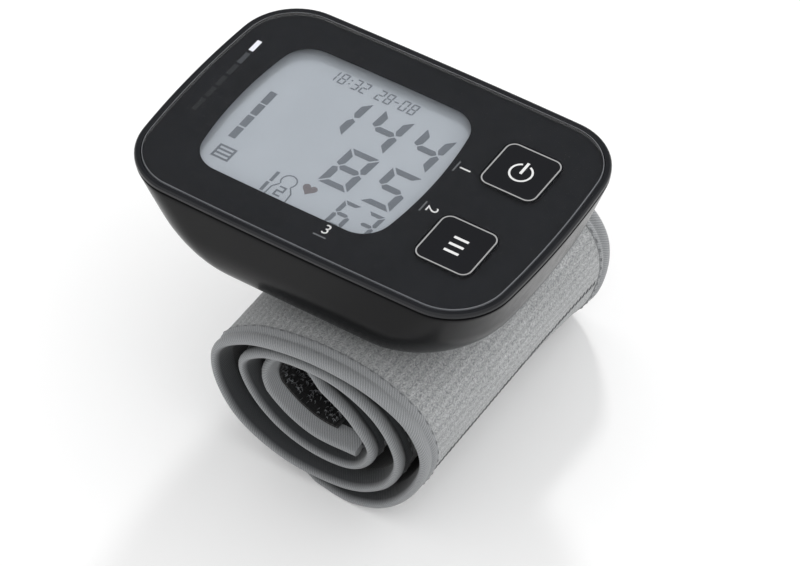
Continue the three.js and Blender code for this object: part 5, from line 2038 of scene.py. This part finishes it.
    def _add_hook(self, mesh: Mesh, path: StrapPath, length: float, y: float,
                  chance: random.Random) -> None:
        """Adds one curled hook that stands on the tape and bends over.

        Args:
            mesh: Mesh that takes it.
            path: Middle line.
            length: Length of the line at its foot.
            y: Place across the strap.
            chance: Source of random draws.
        """
        lean = chance.uniform(0, 2 * math.pi)
        tall = chance.uniform(*self.hook_heights)
        rings = []
        for step in range(6):
            turn = math.pi * self.hook_turn * step / 5
            out = self.hook_bend * (1 - math.cos(turn))
            rise = tall * min(1.0, math.sin(min(turn, math.pi / 2)) + 0.15 * (turn > 1.5))
            rise -= self.hook_droop * max(0.0, turn - math.pi / 2) ** 2
            share = path.share_at(length + out * math.cos(lean))
            middle = (-self.hook_root - rise, y + out * math.sin(lean))
            rings.append(self._ring(mesh, path, share, middle, self.hook_radius, 4))
        self._close_tube(mesh, rings)

    def make_bladder(self, path: StrapPath) -> Piece:
        """Makes the slack bladder between the cloths and returns it.

        Args:
            path: Middle line.

        Returns:
            The bladder.
        """
        low, high = (path.length_at(share) for share in self.bladder_span)
        edge, thick = self.bladder_edge, self.bladder_half_thickness
        full = edge - self.bladder_taper
        section = [(thick, y) for y in (-full, 0.0, full)] + [(0.0, edge)]
        section += [(-thick, y) for y in (full, 0.0, -full)] + [(0.0, -edge)]
        bladder = self.swept("bladder", path, self.shares(path, low, high), section)
        WARDROBE.dress(bladder, Slot.BLACK_RUBBER, replaces=["air_bladder"])
        return bladder

    def build(self) -> None:
        """Makes the cuff's pieces."""
        path = StrapPath()
        LOG.info("strap length %.1f mm", path.length)
        outer, lining = self.make_cloth(path)
        bindings = self.make_bindings(path)
        stitches = self.make_stitches(path)
        hooks = self.make_hooks(path)
        bladder = self.make_bladder(path)


@dataclass(frozen=True)
class Studio:
    """White paper, soft lamps and the camera of the photograph."""

    floor_half: float = 2600.0
    floor_colour: str = "#F2F2F2"
    floor_glow: float = 0.09
    key_distance: float = 1100.0
    key_size: float = 120.0
    key_power: float = 4.0
    key_height: float = 43.6
    key_rise: float = 30.0
    key_aside: tuple[float, float] = (-0.444, 0.897)
    sky: float = 0.74
    sky_swing: float = 0.5
    sky_axis: tuple[float, float, float] = (0.5, 0.33, 0.8)
    card_glow: float = 0.13
    card_distance: float = 1300.0
    card_half: float = 420.0
    card_rise: float = 60.0

    def make_floor(self) -> None:
        """Makes the paper under the object."""
        bpy.ops.mesh.primitive_plane_add(size=2 * self.floor_half * MM, location=(0, 0, -0.03 * MM))
        floor = bpy.context.object
        floor.name = "studio_paper"
        finish = Glow("White studio paper", self.floor_glow, self.floor_colour)
        floor.data.materials.append(WARDROBE.material(finish))

    def make_card(self) -> None:
        """Makes the dark card that the glossy front mirrors."""
        facing = Vector((-CAMERA_BACK.x, -CAMERA_BACK.y, CAMERA_BACK.z)).normalized()
        place = (facing * self.card_distance + Vector((0, 0, self.card_rise))) * MM
        bpy.ops.mesh.primitive_plane_add(size=2 * self.card_half * MM, location=place,
                                         rotation=facing.to_track_quat("Z", "Y").to_euler())
        card = bpy.context.object
        card.name = "studio_card"
        finish = Glow("Dark grey card", self.card_glow)
        card.data.materials.append(WARDROBE.material(finish))
        card.visible_camera = False
        card.visible_diffuse = False
        card.visible_shadow = False

    def make_lamps(self) -> None:
        """Makes the soft main lamp behind and to the left."""
        rise = math.radians(self.key_height)
        aside = Vector((*self.key_aside, 0.0)).normalized()
        direction = aside * math.cos(rise) + Vector((0, 0, math.sin(rise)))
        data = bpy.data.lights.new("key_lamp", "AREA")
        data.shape = "SQUARE"
        data.size = self.key_size * MM
        data.energy = self.key_power
        lamp = linked("key_lamp", data)
        lamp.location = (direction * self.key_distance + Vector((0, 0, self.key_rise))) * MM
        lamp.rotation_mode = "QUATERNION"
        lamp.rotation_quaternion = (-direction).to_track_quat("-Z", "Y")
        lamp.visible_glossy = False
        lamp.visible_transmission = False

    def make_sky(self) -> None:
        """Makes the even light all round, white where it is seen and softer as light."""
        world = bpy.data.worlds.new("studio_sky")
        world.use_nodes = True
        tree = world.node_tree
        tree.nodes.clear()
        # As light, the sky is stronger from above and the right than from the front.
        ray = add_node(tree, "TexCoord").outputs["Generated"]
        toward = add_node(tree, "VectorMath", {0: ray, 1: self.sky_axis}, operation="DOT_PRODUCT")
        soft = maths(tree, "MULTIPLY_ADD", toward.outputs["Value"], self.sky_swing, self.sky)
        strength = add_node(tree, "Mix", {0: seen_share(tree), 2: soft, 3: 1.0}).outputs[0]
        sky = add_node(tree, "Background", {"Color": "#FFFFFF", "Strength": strength})
        add_node(tree, "OutputWorld", {"Surface": sky.outputs[0]})
        bpy.context.scene.world = world

    def make_camera(self) -> None:
        """Makes the camera where the photograph's one stood."""
        data = bpy.data.cameras.new("photo_camera")
        data.lens = CAMERA_LENS
        data.sensor_width = 36.0
        data.clip_start, data.clip_end = 0.05, 20.0
        camera = linked("photo_camera", data)
        camera.location = CAMERA_PLACE * MM
        turn = Matrix((CAMERA_RIGHT, CAMERA_UP, CAMERA_BACK)).transposed()
        camera.rotation_mode = "QUATERNION"
        camera.rotation_quaternion = turn.to_quaternion()
        bpy.context.scene.camera = camera

    def build(self) -> None:
        """Makes the studio."""
        self.make_floor()
        self.make_card()
        self.make_lamps()
        self.make_sky()
        self.make_camera()
        bpy.context.scene.view_settings.view_transform = "Standard"


def dress_inside() -> None:
    """Gives every CAD node that is still shown its finish."""
    slots = {part["node"]: Slot(part["material_slot"]) for part in frame["record"]["subparts"]}
    shown = {name: node for name, node in frame["nodes"].items() if not node.hide_render}
    for name, node in shown.items():
        node.data.materials.clear()
        node.data.materials.append(WARDROBE.material(FINISHES[slots[name]]))
    LOG.info("CAD nodes dressed: %d", len(shown))


def main() -> None:
    """Builds the looks round the frame."""
    logging.basicConfig(level=logging.INFO, format="%(name)s %(message)s")
    Case().build()
    Display().build()
    Keys().build()
    PanelPrint().build()
    Cuff().build()
    dress_inside()
    Studio().build()


if __name__ == "__main__":
    main()
